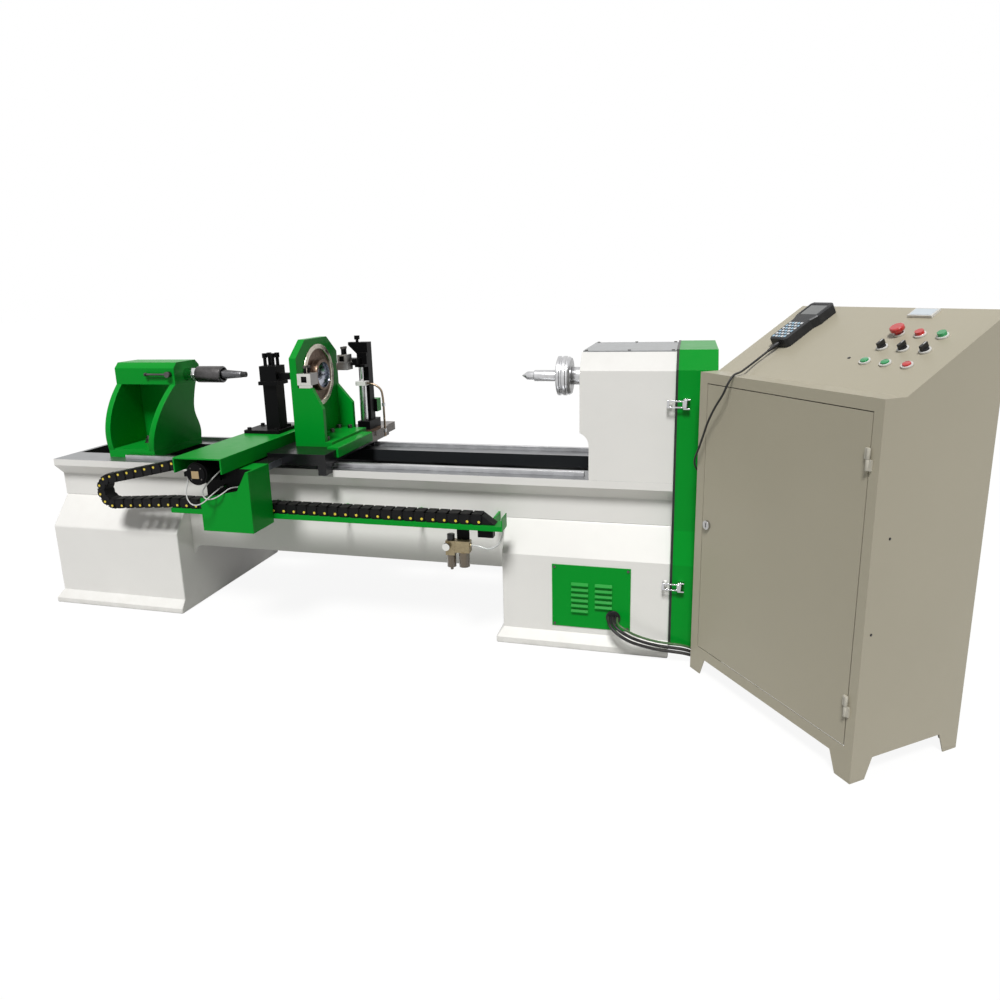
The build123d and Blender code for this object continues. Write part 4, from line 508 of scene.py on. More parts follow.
plastics = {
    "chainBlack": {"color": (0.0065, 0.0065, 0.007), "roughness": 0.48, "haze": 0.01, "dust": 0.02, "specular": 0.12},
    "cordRubber": {"color": (0.012, 0.012, 0.013), "roughness": 0.42, "haze": 0.03, "specular": 0.3},
    "earthRubber": {"color": (0.045, 0.12, 0.035), "roughness": 0.42, "haze": 0.04},
    "leadGrey": {"color": (0.56, 0.56, 0.55), "roughness": 0.4, "haze": 0.1},
    "bezelPale": {"color": (0.68, 0.67, 0.64), "roughness": 0.3, "gloss": 0.3},
    "knobBlack": {"color": (0.010, 0.010, 0.011), "roughness": 0.34, "gloss": 0.1, "specular": 0.3, "haze": 0.02,
        "dust": 0.03},
    "lensRed": {"color": (0.55, 0.012, 0.012), "roughness": 0.22, "gloss": 0.6, "dust": 0.03, "grainStrength": 0.05},
    "lensGreen": {"color": (0.008, 0.30, 0.085), "roughness": 0.22, "gloss": 0.6, "dust": 0.03, "grainStrength": 0.05},
    "pendantBlack": {"color": (0.015, 0.016, 0.019), "roughness": 0.42, "haze": 0.03, "dust": 0.04, "specular": 0.3},
    "keyBlue": {"color": (0.36, 0.55, 0.70), "roughness": 0.38},
    "keyWhite": {"color": (0.72, 0.75, 0.78), "roughness": 0.38},
    "meterBlue": {"color": (0.60, 0.67, 0.72), "roughness": 0.18, "gloss": 0.7, "haze": 0.04, "dust": 0.03},
    "pinYellow": {"color": (0.80, 0.62, 0.05), "roughness": 0.4, "dust": 0.03},
    "plateTan": {"color": (0.42, 0.30, 0.15), "roughness": 0.4, "haze": 0.1},
    "gearGrey": {"color": (0.30, 0.31, 0.32)},
    "screenDark": {"color": (0.012, 0.018, 0.017), "roughness": 0.12, "gloss": 1.0, "dust": 0.03,
        "grainStrength": 0.0, "cornerShade": 0.0},
    "dialWhite": {"color": (0.80, 0.80, 0.77), "roughness": 0.4, "haze": 0.02},
    "hoseClear": {"color": (0.74, 0.76, 0.74), "roughness": 0.2, "gloss": 0.3, "clear": 0.35, "dust": 0.03,
        "cornerShade": 0.0},
    "bowlSmoke": {"color": (0.15, 0.11, 0.065), "roughness": 0.15, "gloss": 0.5, "clear": 0.3, "dust": 0.05,
        "cornerShade": 0.1},
}
finishes = {}
for makeFinish, usual, looks in (
    (paintFinish, paintLook, paints), (metalFinish, metalLook, metals), (plasticFinish, plasticLook, plastics),
):
    for label, look in looks.items():
        finishes[label] = makeFinish(label, {**usual, **look})
print("finishes made,", len(finishes))


# light, floor and backdrop
studio = {
    "worldLight": 0.16, "sunDirection": (0.0, 0.55, -0.83), "sunStrength": 3.1, "sunAngle": 0.25,
    "floorColor": (0.42, 0.415, 0.40), "floorRoughness": 0.9, "floorGlow": 0.78, "glowStrength": 1.17,
    "floorReach": 40.0, "floorLevel": -0.0006, "white": (1, 1, 1, 1),
}


def seenDirectly(tree):
    path = addNode(tree, "LightPath").outputs
    shiny = calc(tree, "MAXIMUM", path["Is Glossy Ray"], path["Is Transmission Ray"])
    return calc(tree, "MAXIMUM", path["Is Camera Ray"], shiny)


def makeStudio(look):
    world = bpy.data.worlds.new("paleRoom")
    scene.world = world
    world.use_nodes = True
    tree = world.node_tree
    level = rangeMap(tree, seenDirectly(tree), 0.0, 1.0, look["worldLight"], 1.0)
    feed(tree, tree.nodes["Background"], {"Color": look["white"], "Strength": level})
    sun = bpy.data.objects.new("softSun", bpy.data.lights.new("softSun", "SUN"))
    sun.data.energy = look["sunStrength"]
    sun.data.angle = look["sunAngle"]
    sun.rotation_euler = Vector(look["sunDirection"]).to_track_quat("-Z", "Y").to_euler()
    scene.collection.objects.link(sun)
    mesh = bpy.data.meshes.new("paleFloor")
    reach = look["floorReach"]
    corners = ((-reach, -reach), (reach, -reach), (reach, reach), (-reach, reach))
    mesh.from_pydata([(x, y, look["floorLevel"]) for x, y in corners], [], [(0, 1, 2, 3)])
    floor = bpy.data.objects.new("paleFloor", mesh)
    scene.collection.objects.link(floor)
    material, tree, shader = newMaterial("paleFloor")
    feed(tree, shader, {"Base Color": rgba(look["floorColor"]), "Roughness": look["floorRoughness"]})
    glow = addNode(tree, "Emission", None, {"Color": look["white"], "Strength": look["glowStrength"]})
    share = calc(tree, "MULTIPLY", seenDirectly(tree), look["floorGlow"])
    mixed = addNode(tree, "MixShader", None, {0: share, 1: shader.outputs["BSDF"], 2: glow.outputs["Emission"]})
    feed(tree, tree.nodes["Material Output"], {"Surface": mixed.outputs["Shader"]})
    mesh.materials.append(material)


makeStudio(studio)
print("studio lit")


# mesh building, angles in degrees
edgeRules = {"sharp": 35.0, "pieceEdge": 35.0, "solidEdge": 38.0, "flat": 0.5, "weld": 0.00002, "steps": 2}


def easeEdges(piece, width, angle):
    edge = piece.modifiers.new("edges", "BEVEL")
    edge.width = width
    edge.segments = edgeRules["steps"]
    edge.limit_method = "ANGLE"
    edge.angle_limit = math.radians(angle)
    edge.harden_normals = True


def finishMesh(name, bm, finish, body, bevel=None):
    bmesh.ops.recalc_face_normals(bm, faces=bm.faces)
    mesh = bpy.data.meshes.new(name)
    bm.to_mesh(mesh)
    bm.free()
    mesh.shade_smooth()
    mesh.set_sharp_from_angle(angle=math.radians(edgeRules["sharp"]))
    for label in [finish] if isinstance(finish, str) else finish:
        mesh.materials.append(finishes[label])
    piece = bpy.data.objects.new(name, mesh)
    scene.collection.objects.link(piece)
    if bevel:
        easeEdges(piece, bevel, edgeRules["pieceEdge"])
    if body:
        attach(piece, body)
    return piece


def addBox(bm, low, high, place=None):
    for vert in bmesh.ops.create_cube(bm, size=1.0)["verts"]:
        for axis in range(3):
            vert.co[axis] = low[axis] if vert.co[axis] < 0 else high[axis]
        if place:
            vert.co = place @ vert.co


def boxPiece(name, box, finish, body, place=None):
    bm = bmesh.new()
    addBox(bm, box["low"], box["high"], place)
    finishMesh(name, bm, finish, body, box["bevel"])


# closed skin through rings of equal count
def addSkin(bm, rings):
    count = len(rings[0])
    for lower, upper in zip(rings, rings[1:]):
        for index in range(count):
            other = (index + 1) % count
            bm.faces.new((lower[index], lower[other], upper[other], upper[index]))
    bm.faces.new(list(reversed(rings[0])))
    bm.faces.new(rings[-1])


# profile is a list of (along, radius) from the base outward
def addTurned(bm, profile, base, axis, steps, place=None):
    turn = Matrix.Translation(base) @ Vector(axis).to_track_quat("Z", "Y").to_matrix().to_4x4()
    if place:
        turn = place @ turn
    angles = [2 * math.pi * index / steps for index in range(steps)]
    addSkin(bm, [
        [bm.verts.new(turn @ Vector((radius * math.cos(angle), radius * math.sin(angle), along))) for angle in angles]
        for along, radius in profile
    ])


# hex socket cap screw, in shares of its radius, the socket's depth in shares of its height
screwShape = {"lip": 0.12, "deep": 0.45, "mouth": 0.58, "bottom": 0.55, "cone": 0.1, "point": 0.02, "steps": 24}


def addSocketScrew(bm, base, axis, radius, height):
    lip = screwShape["lip"] * radius
    floor = height - screwShape["deep"] * height
    profile = [
        (0, radius), (height - lip, radius), (height, radius - lip), (height, screwShape["mouth"] * radius),
        (floor, screwShape["bottom"] * radius), (floor - screwShape["cone"] * radius, screwShape["point"] * radius),
    ]
    addTurned(bm, profile, base, axis, screwShape["steps"])


def screwPiece(name, spots, axis, radius, height, body):
    bm = bmesh.new()
    for spot in spots:
        addSocketScrew(bm, spot, axis, radius, height)
    finishMesh(name, bm, "oiledIron", body)


# each finish with its solids and how wide their edges are eased
nodeFinish = {
    "bedWhite": {"bed": 0.003, "tail_leg": 0.006, "headstock_base": 0.006, "headstock_housing": 0.005},
    # the lid's grey is painted shade
    "lidGrey": {"headstock_lid": 0.0012},
    "motorGrey": {"main_motor": 0.0015},
    "latheGreen": {"vent_panel": 0.0006, "chain_tray": 0.0006, "end_cover": 0.0012, "tailstock_casting": 0.003,
        "apron": 0.0016, "slide_cover": 0.0016, "steady_frame": 0.003},
    "consoleBeige": {"cabinet_body": 0.0012, "cabinet_door": 0.0012},
    "postBlack": {"feed_motor": 0.0015, "cross_motor": 0.0015, "front_tool_post": 0.0015, "rear_post": 0.0015,
        "rear_tool_lift": 0.001},
    "saddleBlack": {"saddle": 0.0012},
    "groundSteel": {"linear_rails": 0.001, "spindle_bearings": 0.001},
    "turnedSteel": {"spindle_shaft": 0.001, "faceplate": 0.0006, "drive_center": 0.0006},
    "oiledIron": {"spindle_pulley": 0.001, "motor_pulley": 0.001, "tailstock_clamp": 0.001, "pinion": None,
        "gear_rack": None},
    "blueSteel": {"live_center": 0.0008, "quill_lever": 0.0008},
    "quillChrome": {"quill": 0.0008},
    "latchChrome": {"latch_upper": 0.0006, "latch_lower": 0.0006, "door_lock": 0.0006},
    "ringRim": {"steady_ring": 0.001},
    "toolAlloy": {"front_tool_holder": 0.001},
    "cylinderAlloy": {"rear_cylinder": 0.0008},
    "valveBrass": {"air_unit": 0.0015},
    "gearGrey": {"electrical_panel": 0.002},
    "bezelPale": {"panel_fittings": 0.0008},
    "pendantBlack": {"pendant_body": 0.0015},
    "knobBlack": {"cable_glands": 0.001, "air_knob": 0.0015, "selector_left": 0.001, "selector_middle": 0.001,
        "selector_right": 0.001},
    "lensRed": {"e_stop": None, "halt_button": 0.001},
    "lensGreen": {"start_button": 0.001, "feed_button": 0.001},
    "cordRubber": {"drive_belt": None, "power_cables": None, "pendant_cord": None},
    "leadGrey": {"cross_motor_leads": None},
    "chainBlack": {"drag_chain_lower": None, "drag_chain_loop": None, "drag_chain_upper": None},
}
console = {"corner": (0.4174, -0.3719, 0), "turn": -53.38, "panelFoot": (0, 0.075, 1.1), "slope": 30.2}
cabinetPlace = Matrix.Translation(console["corner"]) @ Matrix.Rotation(math.radians(console["turn"]), 4, "Z")
panelPlace = cabinetPlace @ Matrix.Translation(console["panelFoot"]) @ Matrix.Rotation(
    math.radians(console["slope"]), 4, "X")
cabinetBack = cabinetPlace.inverted()
panelBack = panelPlace.inverted()
liftRod = {"x": -1.110, "y": 0.2275}
far = 9.0  # open end of a span


# centre, normal, distance from the spindle line and the lift rod, and the centre as panel and door see it
def faceMeasures(center, normal):
    panel = panelBack @ center
    return {
        "x": center.x, "y": center.y, "z": center.z, "nx": normal.x, "ny": normal.y, "nz": normal.z,
        "spindle": math.hypot(center.y, center.z - spindleHeight),
        "rod": math.hypot(center.x - liftRod["x"], center.y - liftRod["y"]),
        "panelX": panel.x, "panelY": panel.y, "panelZ": panel.z, "doorY": (cabinetBack @ center).y,
    }


# finishes of single faces: a face gets one where all spans of any one set hold
faceFinish = {
    "bed": [
        # inner faces of the gap between the ways: painted shade
        ("troughGrey", {"x": (-2.454, 0.334), "y": (-0.2085, 0.2085), "z": (-far, 0.677)}),
        ("wayIron", {"z": (0.677, far), "nz": (0.9, far)}),
    ],
    "saddle": [
        # front plate faces: steel with a painted bluish reflection
        ("bridgeSteel", {"x": (-1.46, -1.20), "y": (-0.5, -0.3355), "z": (0.70, 0.736), "nz": (-far, 0.5)}),
    ],
    "apron": [
        # notch walls and floor of the green apron painted black: painted shade
        ("postBlack", {"y": (-0.545, far), "z": (0.6, far), "ny": (-far, -0.5)},
         {"x": (-far, -1.30), "z": (0.61, 0.67), "nz": (0.5, far)}),
    ],
    # undersides inside the green slide cover painted black: painted shade
    "slide_cover": [("postBlack", {"z": (0.75, far), "nz": (-far, -0.5)})],
    "steady_ring": [
        ("ringOil", {"x": (-1.2165, far), "spindle": (0.0563, 0.1145)}),
        # bore faces: bluish painted reflection
        ("boreBlue", {"spindle": (-far, 0.0563)}),
    ],
    "front_tool_holder": [
        # right-facing faces of the holder: painted shade
        ("holderGrey", {"x": (-1.155, far), "nx": (0.5, far)}),
        ("postBlack", {"x": (-1.1947, -1.1683), "z": (1.0283, 1.0547), "ny": (-0.5, 0.5)},
         {"x": (-1.1895, -1.1735), "z": (1.0665, far)}),
    ],
    "rear_tool_lift": [
        ("toolAlloy", {"x": (-far, -1.1345), "y": (-far, 0.1905), "z": (-far, 1.1155)}),
        # right-facing faces of the lift holder: painted shade
        ("holderGrey", {"x": (-1.15, -1.130), "y": (-far, 0.1905), "nx": (0.5, far)}),
        ("postBlack", {"x": (-1.1732, -1.1468), "y": (-far, 0.19), "z": (1.0833, 1.1097), "ny": (-0.5, far)}),
        ("quillChrome", {"rod": (-far, 0.0083), "z": (-far, 1.0505)}),
    ],
    "rear_post": [("latheGreen", {"y": (0.3005, far), "z": (0.82, 0.895)})],
    "rear_cylinder": [
        ("dialWhite", {"x": (-far, -1.084), "z": (0.9635, far)}),
        ("pipeBrown", {"x": (-1.0848, far)}),
    ],
    "live_center": [
        ("taperGrey", {"x": (-1.6950, -1.600)}),
        ("knobBlack", {"x": (-1.5995, far)}),
    ],
    "quill_lever": [("knobBlack", {"x": (-far, -2.024)})],
    "headstock_lid": [("oiledIron", {"z": (1.1585, far)})],
    "vent_panel": [
        ("oiledIron", *({"x": x, "y": (-far, -0.3035), "z": z}
                        for x in ((-far, -0.087), (0.163, far)) for z in ((-far, 0.114), (0.314, far)))),
    ],
    "air_unit": [
        ("postBlack", {"x": (-0.385, far)}, {"y": (-0.377, far)}),
        ("bowlSmoke", {"x": (-far, -0.40), "y": (-far, -0.37), "z": (-far, 0.3895)}),
        ("postBlack", {"y": (-far, -0.416), "ny": (-0.5, far)}),
        ("dialWhite", {"y": (-far, -0.416), "ny": (-far, -0.5)}),
    ],
    "panel_fittings": [
        ("lensRed", {"panelX": (0.557, 0.582), "panelY": (0.2555, 0.2805), "panelZ": (0.0062, far)}),
        ("lensGreen", {"panelX": (0.6255, 0.6505), "panelY": (0.2555, 0.2805), "panelZ": (0.0062, far)}),
    ],
    "cabinet_body": [("hingePale", {"doorY": (-far, -0.0006)})],
    "cabinet_door": [("hingePale", {"doorY": (-far, -0.0006)})],
    "end_cover": [
        ("latchChrome", {"x": (0.360, 0.389), "y": (-far, -0.3085)},
         {"x": (0.360, 0.389), "y": (-far, -0.2845), "z": (0.9, far)}),
    ],
}


def fits(measures, spans):
    return all(low < measures[key] < high for key, (low, high) in spans.items())


def dress(name, finish, ease):
    piece = nodes[name]
    mesh = piece.data
    rules = faceFinish.get(name, [])
    mesh.materials.clear()
    for label in [finish] + [rule[0] for rule in rules]:
        mesh.materials.append(finishes[label])
    for polygon in mesh.polygons:
        polygon.material_index = 0
        measures = faceMeasures(polygon.center, polygon.normal) if rules else None
        for index, (label, *sets) in enumerate(rules, 1):
            if any(fits(measures, spans) for spans in sets):
                polygon.material_index = index
    seam = piece.modifiers.new("seams", "WELD")
    seam.merge_threshold = edgeRules["weld"]
    if ease:
        flat = piece.modifiers.new("flats", "DECIMATE")
        flat.decimate_type = "DISSOLVE"
        flat.angle_limit = math.radians(edgeRules["flat"])
        flat.delimit = {"MATERIAL"}
        easeEdges(piece, ease, edgeRules["solidEdge"])


for finish, solids in nodeFinish.items():
    for name, ease in solids.items():
        dress(name, finish, ease)
print("solids dressed")


# drag chain: links with outer plates, inner tongues, cross bars and yellow pins
chain = {
    "middle": -0.3915, "pitch": 0.045, "half": 0.020, "edge": 0.0285, "plate": 0.0042, "tongue": 0.0038,
    "plateTail": ((0.001, 0.006), (0.007, 0.0)), "plateNose": ((-0.013, 0.0), (-0.004, 0.011)),
    "tongueNose": ((0.004, 0.005), (0.011, 0.013)), "play": 0.0003, "bar": 0.0205, "barShort": 0.003,
    "barThick": 0.0015, "pin": 0.0052, "pinInset": 0.011, "pinLift": 0.008,
    "pinProfile": ((-0.001, 0.0), (0.0006, 0.0), (0.0008, -0.0006)), "pinSteps": 16,
    "trayStart": (-0.360, 0.543), "sagStart": (-1.732, 0.543), "loopStart": (-2.01637, 0.52411),
    "loopAxis": (-2.02015, 0.58098), "loopRadius": 0.057, "loopLinks": 5, "heading": 183.8, "climb": 12.0,
    "loopEnd": (-2.0320, 0.63674), "climbEnd": (-1.66373, 0.715), "upperEnd": (-1.512, 0.715),
    "foot": ((-0.3595, 0.5245), (-0.310, 0.5245), (-0.318, 0.530), (-0.3595, 0.560)), "footAcross": (-0.416, -0.367),
}
chainLook = ["chainBlack", "pinYellow"]


def addPrism(bm, outline, low, high, place):
    addSkin(bm, [[bm.verts.new(place @ Vector((x, across, z))) for x, z in outline] for across in (low, high)])


def addLink(bm, middle, angle, length):
    place = Matrix.Translation((middle[0], chain["middle"], middle[1])) @ Matrix.Rotation(-angle, 4, "Y")
    half, edge, bar, thick, reach = chain["half"], chain["edge"], chain["bar"], chain["barThick"], length / 2
    inside = edge - chain["plate"]
    plate = [(x - reach, z - half) for x, z in chain["plateTail"]]
    plate += [(x + reach, z - half) for x, z in chain["plateNose"]]
    plate += [(x, -z) for x, z in reversed(plate)]
    tongue = [(0.0, chain["tongueNose"][0][1] - half)]
    tongue += [(x + reach, z - half) for x, z in chain["tongueNose"]]
    tongue += [(x, -z) for x, z in reversed(tongue)]
    pinProfile = [(along, chain["pin"] + more) for along, more in chain["pinProfile"]]
    for side in (-1, 1):
        addPrism(bm, plate, side * inside, side * edge, place)
        addPrism(bm, tongue, side * (inside - chain["tongue"]), side * (inside - chain["play"]), place)
        top = side * half + (thick if side < 0 else 0)  # upper bar ends flush
        addBox(bm, (-bar, -inside, side * half - thick), (bar - chain["barShort"], inside, top), place)
        before = len(bm.faces)
        pinSpot = (chain["pinInset"] - reach, side * edge, chain["pinLift"])
        addTurned(bm, pinProfile, pinSpot, (0, side, 0), chain["pinSteps"], place)
        bm.faces.ensure_lookup_table()
        for index in range(before, len(bm.faces)):
            bm.faces[index].material_index = chainLook.index("pinYellow")


def addRun(bm, start, end):
    begin, run = Vector(start), Vector(end) - Vector(start)
    count = max(1, round(run.length / chain["pitch"]))
    for index in range(count):
        addLink(bm, begin + run * ((index + 0.5) / count), math.atan2(run.y, run.x), run.length / count)


lowerRun = bmesh.new()
addRun(lowerRun, chain["trayStart"], chain["sagStart"])
addRun(lowerRun, chain["sagStart"], chain["loopStart"])
addPrism(lowerRun, chain["foot"], *chain["footAcross"], Matrix.Identity(4))
lowerPiece = finishMesh("chainLowerRun", lowerRun, chainLook, None)
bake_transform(lowerPiece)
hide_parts("drag_chain_lower")
loopRun = bmesh.new()
loopStep = math.radians(chain["heading"] - chain["climb"]) / chain["loopLinks"]
linkLength = 2 * chain["loopRadius"] * math.tan(loopStep / 2)
for index in range(chain["loopLinks"]):
    heading = math.radians(chain["heading"]) - (index + 0.5) * loopStep
    outward = Vector((math.cos(heading + math.pi / 2), math.sin(heading + math.pi / 2)))
    addLink(loopRun, Vector(chain["loopAxis"]) + outward * chain["loopRadius"], heading, linkLength)
loopPiece = finishMesh("chainLoopRun", loopRun, chainLook, "chain_loop")
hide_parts("drag_chain_loop")
upperRun = bmesh.new()
addRun(upperRun, chain["loopEnd"], chain["climbEnd"])
addRun(upperRun, chain["climbEnd"], chain["upperEnd"])
upperPiece = finishMesh("chainUpperRun", upperRun, chainLook, None)
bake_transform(upperPiece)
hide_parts("drag_chain_upper")
print("chain linked")


# screws, plates and seals on the carriage and the guard
boltSets = {
    "steadyBaseBolts": {"body": "carriage", "top": 0.775, "radius": 0.010, "height": 0.016,
        "spots": ((-1.200, 0.138), (-1.146, 0.138), (-1.185, 0.037), (-1.120, -0.140))},
    "holderBoltHeads": {"body": "carriage", "top": 1.088, "radius": 0.0085, "height": 0.009,
        "spots": ((-1.1815, -0.176), (-1.1815, -0.144))},
    "liftBoltHeads": {"body": "rear_lift", "top": 1.141, "radius": 0.0095, "height": 0.010,
        "spots": ((-1.160, 0.145), (-1.160, 0.170))},
}
for name, bolts in boltSets.items():
    spots = [(x, y, bolts["top"]) for x, y in bolts["spots"]]
    screwPiece(name, spots, (0, 0, 1), bolts["radius"], bolts["height"], bolts["body"])

motorPlate = {"low": (-1.444, -0.6342, 0.717), "high": (-1.412, -0.6328, 0.746), "bevel": 0.0003}
boxPiece("motorPlate", motorPlate, "plateTan", "carriage")
capScrews = {"middle": (-1.424, -0.633, 0.735), "reach": 0.031, "turns": (45, 135, 225, 315), "radius": 0.003,
             "height": 0.0015}
middleX, middleY, middleZ = capScrews["middle"]
spots = [
    (middleX + capScrews["reach"] * math.cos(math.radians(turn)), middleY,
     middleZ + capScrews["reach"] * math.sin(math.radians(turn))) for turn in capScrews["turns"]
]
screwPiece("motorCapScrews", spots, (0, -1, 0), capScrews["radius"], capScrews["height"], "carriage")

pipeNuts = {
    "spots": ((-1.009, 0.2283, 0.742), (-1.009, 0.2278, 0.865)), "sides": 6,
    "profile": ((0, 0.0075), (0.001, 0.0085), (0.016, 0.0085)),
}
bm = bmesh.new()
for spot in pipeNuts["spots"]:
    addTurned(bm, pipeNuts["profile"], spot, (0, 0, 1), pipeNuts["sides"])
finishMesh("pipeNuts", bm, "cylinderAlloy", "rear_slide")

guardSeal = {
    "left": 0.3346, "right": 0.343, "outside": 0.0012, "shoulder": 1.0,
    "outline": ((-0.308, 0.047), (-0.308, 0.372), (-0.284, 0.500), (-0.284, 1.095), (-0.219, 1.162),
                (0.219, 1.162), (0.284, 1.095), (0.284, 0.500), (0.308, 0.372), (0.308, 0.047)),
}
bm = bmesh.new()
sealRings = []
for y, z in guardSeal["outline"]:
    rise = guardSeal["outside"] if z > guardSeal["shoulder"] else 0
    out = Vector((0, math.copysign(guardSeal["outside"], y), rise))
    left, right = Vector((guardSeal["left"], y, z)), Vector((guardSeal["right"], y, z))
    sealRings.append([bm.verts.new(spot) for spot in (left - out, left + out, right + out, right - out)])
addSkin(bm, sealRings)
finishMesh("guardSeal", bm, "cordRubber", "end_cover")

# keys, screen and marks on the console
pendantKeys = {
    "x": 0.133, "low": 0.172, "rows": 6, "columns": 5, "pitch": (0.0125, 0.0155), "size": (0.0085, 0.0095),
    "bottom": 0.0346, "top": 0.0361, "bevel": 0.0004,
}
for label, odd in (("keyBlue", 0), ("keyWhite", 1)):
    bm = bmesh.new()
    wide, tall = pendantKeys["size"]
    for row in range(pendantKeys["rows"]):
        for column in range(pendantKeys["columns"]):
            if (row + column) % 2 != odd:
                continue
            x = pendantKeys["x"] + (column - pendantKeys["columns"] // 2) * pendantKeys["pitch"][0]
            y = pendantKeys["low"] + row * pendantKeys["pitch"][1]
            low = (x - wide / 2, y - tall / 2, pendantKeys["bottom"])
            addBox(bm, low, (x + wide / 2, y + tall / 2, pendantKeys["top"]), panelPlace)
    finishMesh("pendantKeys" + label[3:], bm, label, "machine", pendantKeys["bevel"])
pendantScreen = {"low": (0.0965, 0.3055, 0.0328), "high": (0.1695, 0.3605, 0.0336), "bevel": 0.0002}
boxPiece("pendantScreen", pendantScreen, "screenDark", "machine", panelPlace)
pendantSleeve = {"base": (0.133, 0.141, 0.016), "profile": ((0, 0.0068), (0.012, 0.0062), (0.030, 0.0044)), "steps": 20}
bm = bmesh.new()
addTurned(bm, pendantSleeve["profile"], pendantSleeve["base"], (0, -1, 0), pendantSleeve["steps"], panelPlace)
finishMesh("pendantSleeve", bm, "cordRubber", "machine")
meterGlass = {"low": (0.466, 0.359, 0.0079), "high": (0.536, 0.391, 0.0088), "bevel": 0.0002}
boxPiece("meterGlass", meterGlass, "meterBlue", "machine", panelPlace)
selectorMarks = {
    "x": {"selector_left": 0.501, "selector_middle": 0.5695, "selector_right": 0.638},
    "half": 0.0011, "row": (0.197, 0.2085), "lift": (0.0229, 0.0234),
}
for body, x in selectorMarks["x"].items():
    low, high = (
        (x + side * selectorMarks["half"], selectorMarks["row"][end], selectorMarks["lift"][end])
        for end, side in enumerate((-1, 1))
    )
    boxPiece(body + "Mark", {"low": low, "high": high, "bevel": None}, "dialWhite", body, panelPlace)
consolePlugs = {
    "panelSpot": (0.435, 0.136, 0), "panelProfile": ((-0.001, 0.005), (0.0008, 0.005), (0.0012, 0.0042)),
    "sideSpots": ((0.735, 0.028, 0.454), (0.735, 0.063, 0.723)), "steps": 20,
    "sideProfile": ((-0.001, 0.004), (0.0008, 0.004), (0.0012, 0.003)),
}
bm = bmesh.new()
addTurned(
    bm, consolePlugs["panelProfile"], consolePlugs["panelSpot"], (0, 0, 1), consolePlugs["steps"], panelPlace,
)
for spot in consolePlugs["sideSpots"]:
    addTurned(bm, consolePlugs["sideProfile"], spot, (1, 0, 0), consolePlugs["steps"], cabinetPlace)
finishMesh("consolePlugs", bm, "knobBlack", "machine")
print("details placed")


# cords: route points of the source, in metres
def cordCurve(name, points, look, body):
    data = bpy.data.curves.new(name, "CURVE")
    data.dimensions = "3D"
    data.bevel_depth = look["diameter"] / 2
    data.bevel_resolution = 5
    data.use_fill_caps = True
    spline = data.splines.new("NURBS")
    spline.points.add(len(points) - 1)
    for target, point in zip(spline.points, points):
        target.co = (*point, 1.0)
    spline.order_u = 3
    spline.use_endpoint_u = True
    spline.resolution_u = 10
    data.materials.append(finishes[look["finish"]])
    cord = bpy.data.objects.new(name, data)
    scene.collection.objects.link(cord)
    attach(cord, body)
    return cord


# route points of the middle cable, each with how far the outer two fan out there
powerCables = {
    "spacing": 0.021, "diameters": (0.012, 0.012, 0.009), "lengths": (0.637, 0.635, 0.636),
    "finishes": ("cordRubber", "cordRubber", "earthRubber"),
    "floorRun": (
        ((0.125, -0.309, 0.140), (0.8, 0, 0)), ((0.125, -0.353, 0.140), (0.8, 0, 0)),
        ((0.154, -0.378, 0.123), (0.64, 0.24, 0.4)), ((0.197, -0.378, 0.098), (0.3, 0.52, 0.5)),
        ((0.246, -0.366, 0.078), (0.12, 0.45, 0.52)), ((0.296, -0.355, 0.064), (0, 0.42, 0.54)),
        ((0.347, -0.346, 0.057), (0, 0.42, 0.54)), ((0.396, -0.338, 0.051), (-0.05, 0.42, 0.54)),
    ),
    "cabinetRun": (
        ((-0.024, 0.050, 0.031), (-0.46, 0.18, 0.43)), ((-0.008, 0.094, 0.024), (-0.4, 0.46, 0.3)),
        ((0.032, 0.124, 0.024), (-0.3, 0.76, 0.1)), ((0.078, 0.140, 0.031), (0, 0.93, 0)),
        ((0.112, 0.148, 0.060), (0.3, 0.95, 0)), ((0.120, 0.150, 0.087), (0.3, 0.95, 0)),
        ((0.120, 0.150, 0.112), (0.3, 0.95, 0)),
    ),
}


def fanned(points, side):
    return [tuple(base + side * fan for base, fan in zip(*pair)) for pair in points]


for index, diameter in enumerate(powerCables["diameters"]):
    side = (index - 1) * powerCables["spacing"]
    route = fanned(powerCables["floorRun"], side)
    route += [cabinetPlace @ Vector(point) for point in fanned(powerCables["cabinetRun"], side)]
    look = {"diameter": diameter, "length": powerCables["lengths"][index], "finish": powerCables["finishes"][index],
            "stiffness": "limp", "lay": "loose"}
    cordCurve("powerCable" + str(index + 1), route, look, "machine")
airHose = {
    "diameter": 0.008, "length": 0.198, "finish": "hoseClear", "stiffness": "medium", "lay": "hanging",
    "route": ((-0.412, -0.390, 0.430), (-0.384, -0.390, 0.430), (-0.354, -0.393, 0.419), (-0.322, -0.393, 0.425),
        (-0.298, -0.391, 0.446), (-0.287, -0.390, 0.475), (-0.286, -0.390, 0.497), (-0.286, -0.390, 0.520)),
}
cordCurve("airHose", airHose["route"], airHose, "machine")
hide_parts("power_cables")

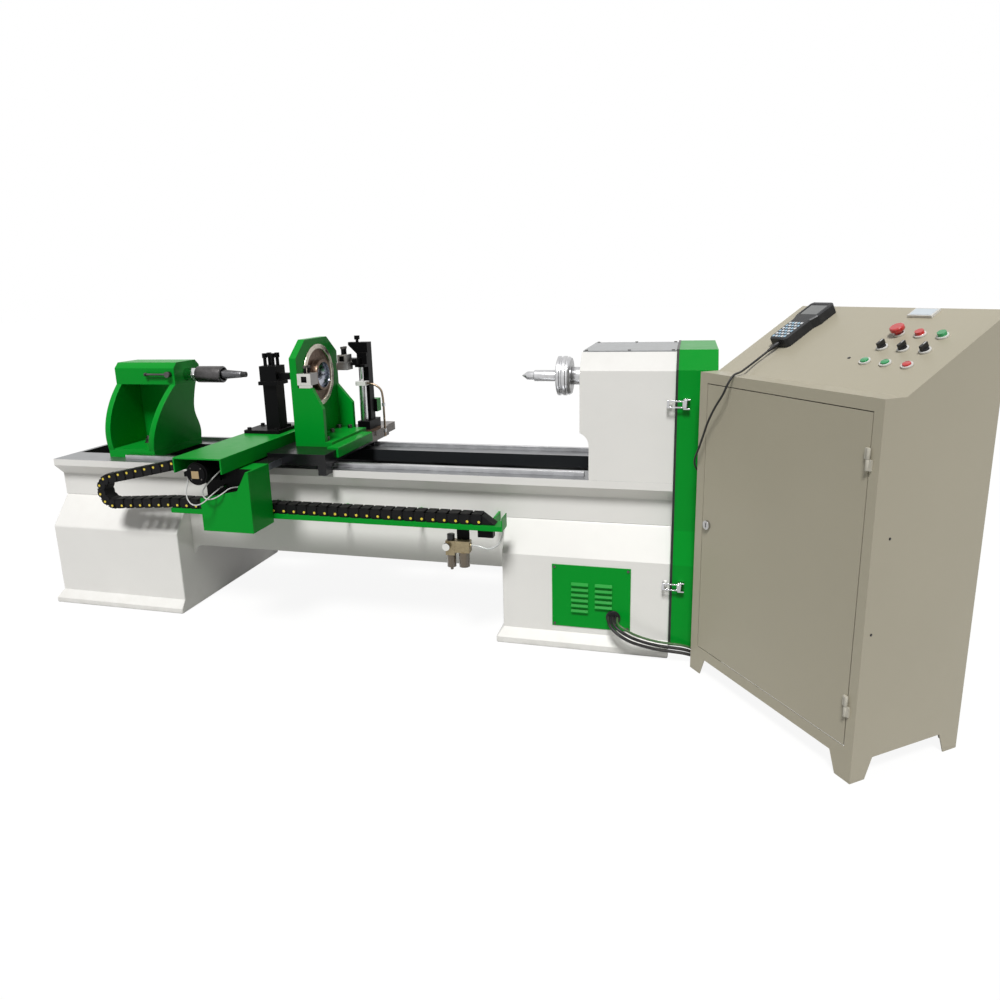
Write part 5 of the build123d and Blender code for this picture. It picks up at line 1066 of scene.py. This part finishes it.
pendantLead = {
    "diameter": 0.007, "length": 0.730, "finish": "cordRubber", "stiffness": "limp", "lay": "hanging",
    "panelRun": ((0.133, 0.139, 0.016), (0.133, 0.104, 0.016), (0.129, 0.062, 0.013)),
    "cabinetRun": ((0.137, 0.072, 1.119), (0.157, 0.032, 1.110), (0.172, -0.005, 1.108), (0.172, -0.029, 1.076),
        (0.156, -0.029, 1.044), (0.117, -0.027, 1.000), (0.080, -0.026, 0.943), (0.057, -0.025, 0.890),
        (0.033, -0.024, 0.838), (0.008, -0.020, 0.800), (-0.010, -0.004, 0.770), (-0.017, 0.020, 0.742),
        (-0.015, 0.037, 0.716), (-0.014, 0.040, 0.690), (-0.014, 0.040, 0.668)),
}
pendantRoute = [panelPlace @ Vector(point) for point in pendantLead["panelRun"]]
pendantRoute += [cabinetPlace @ Vector(point) for point in pendantLead["cabinetRun"]]
pendantCord = cordCurve("pendantCord", pendantRoute, pendantLead, "machine")
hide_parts("pendant_cord")

motorLeads = {
    "diameter": 0.005, "finish": "leadGrey", "stiffness": "limp", "lay": "hanging",
    "lengths": {"leftLead": 0.275, "rightLead": 0.341},
    "leftLead": ((-1.476, -0.615, 0.721), (-1.476, -0.615, 0.697), (-1.482, -0.629, 0.665), (-1.470, -0.640, 0.629),
        (-1.444, -0.642, 0.610), (-1.410, -0.633, 0.618), (-1.388, -0.607, 0.645), (-1.379, -0.577, 0.658),
        (-1.376, -0.564, 0.664), (-1.376, -0.542, 0.664)),
    "rightLead": ((-1.345, -0.540, 0.752), (-1.345, -0.566, 0.752), (-1.353, -0.592, 0.736), (-1.381, -0.604, 0.707),
        (-1.408, -0.607, 0.681), (-1.428, -0.607, 0.655), (-1.418, -0.606, 0.628), (-1.385, -0.604, 0.628),
        (-1.351, -0.594, 0.646), (-1.332, -0.556, 0.668), (-1.297, -0.556, 0.668)),
}
leads = [
    cordCurve(name, motorLeads[name], {**motorLeads, "length": length}, "carriage")
    for name, length in motorLeads["lengths"].items()
]
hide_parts("cross_motor_leads")
print("cords laid")
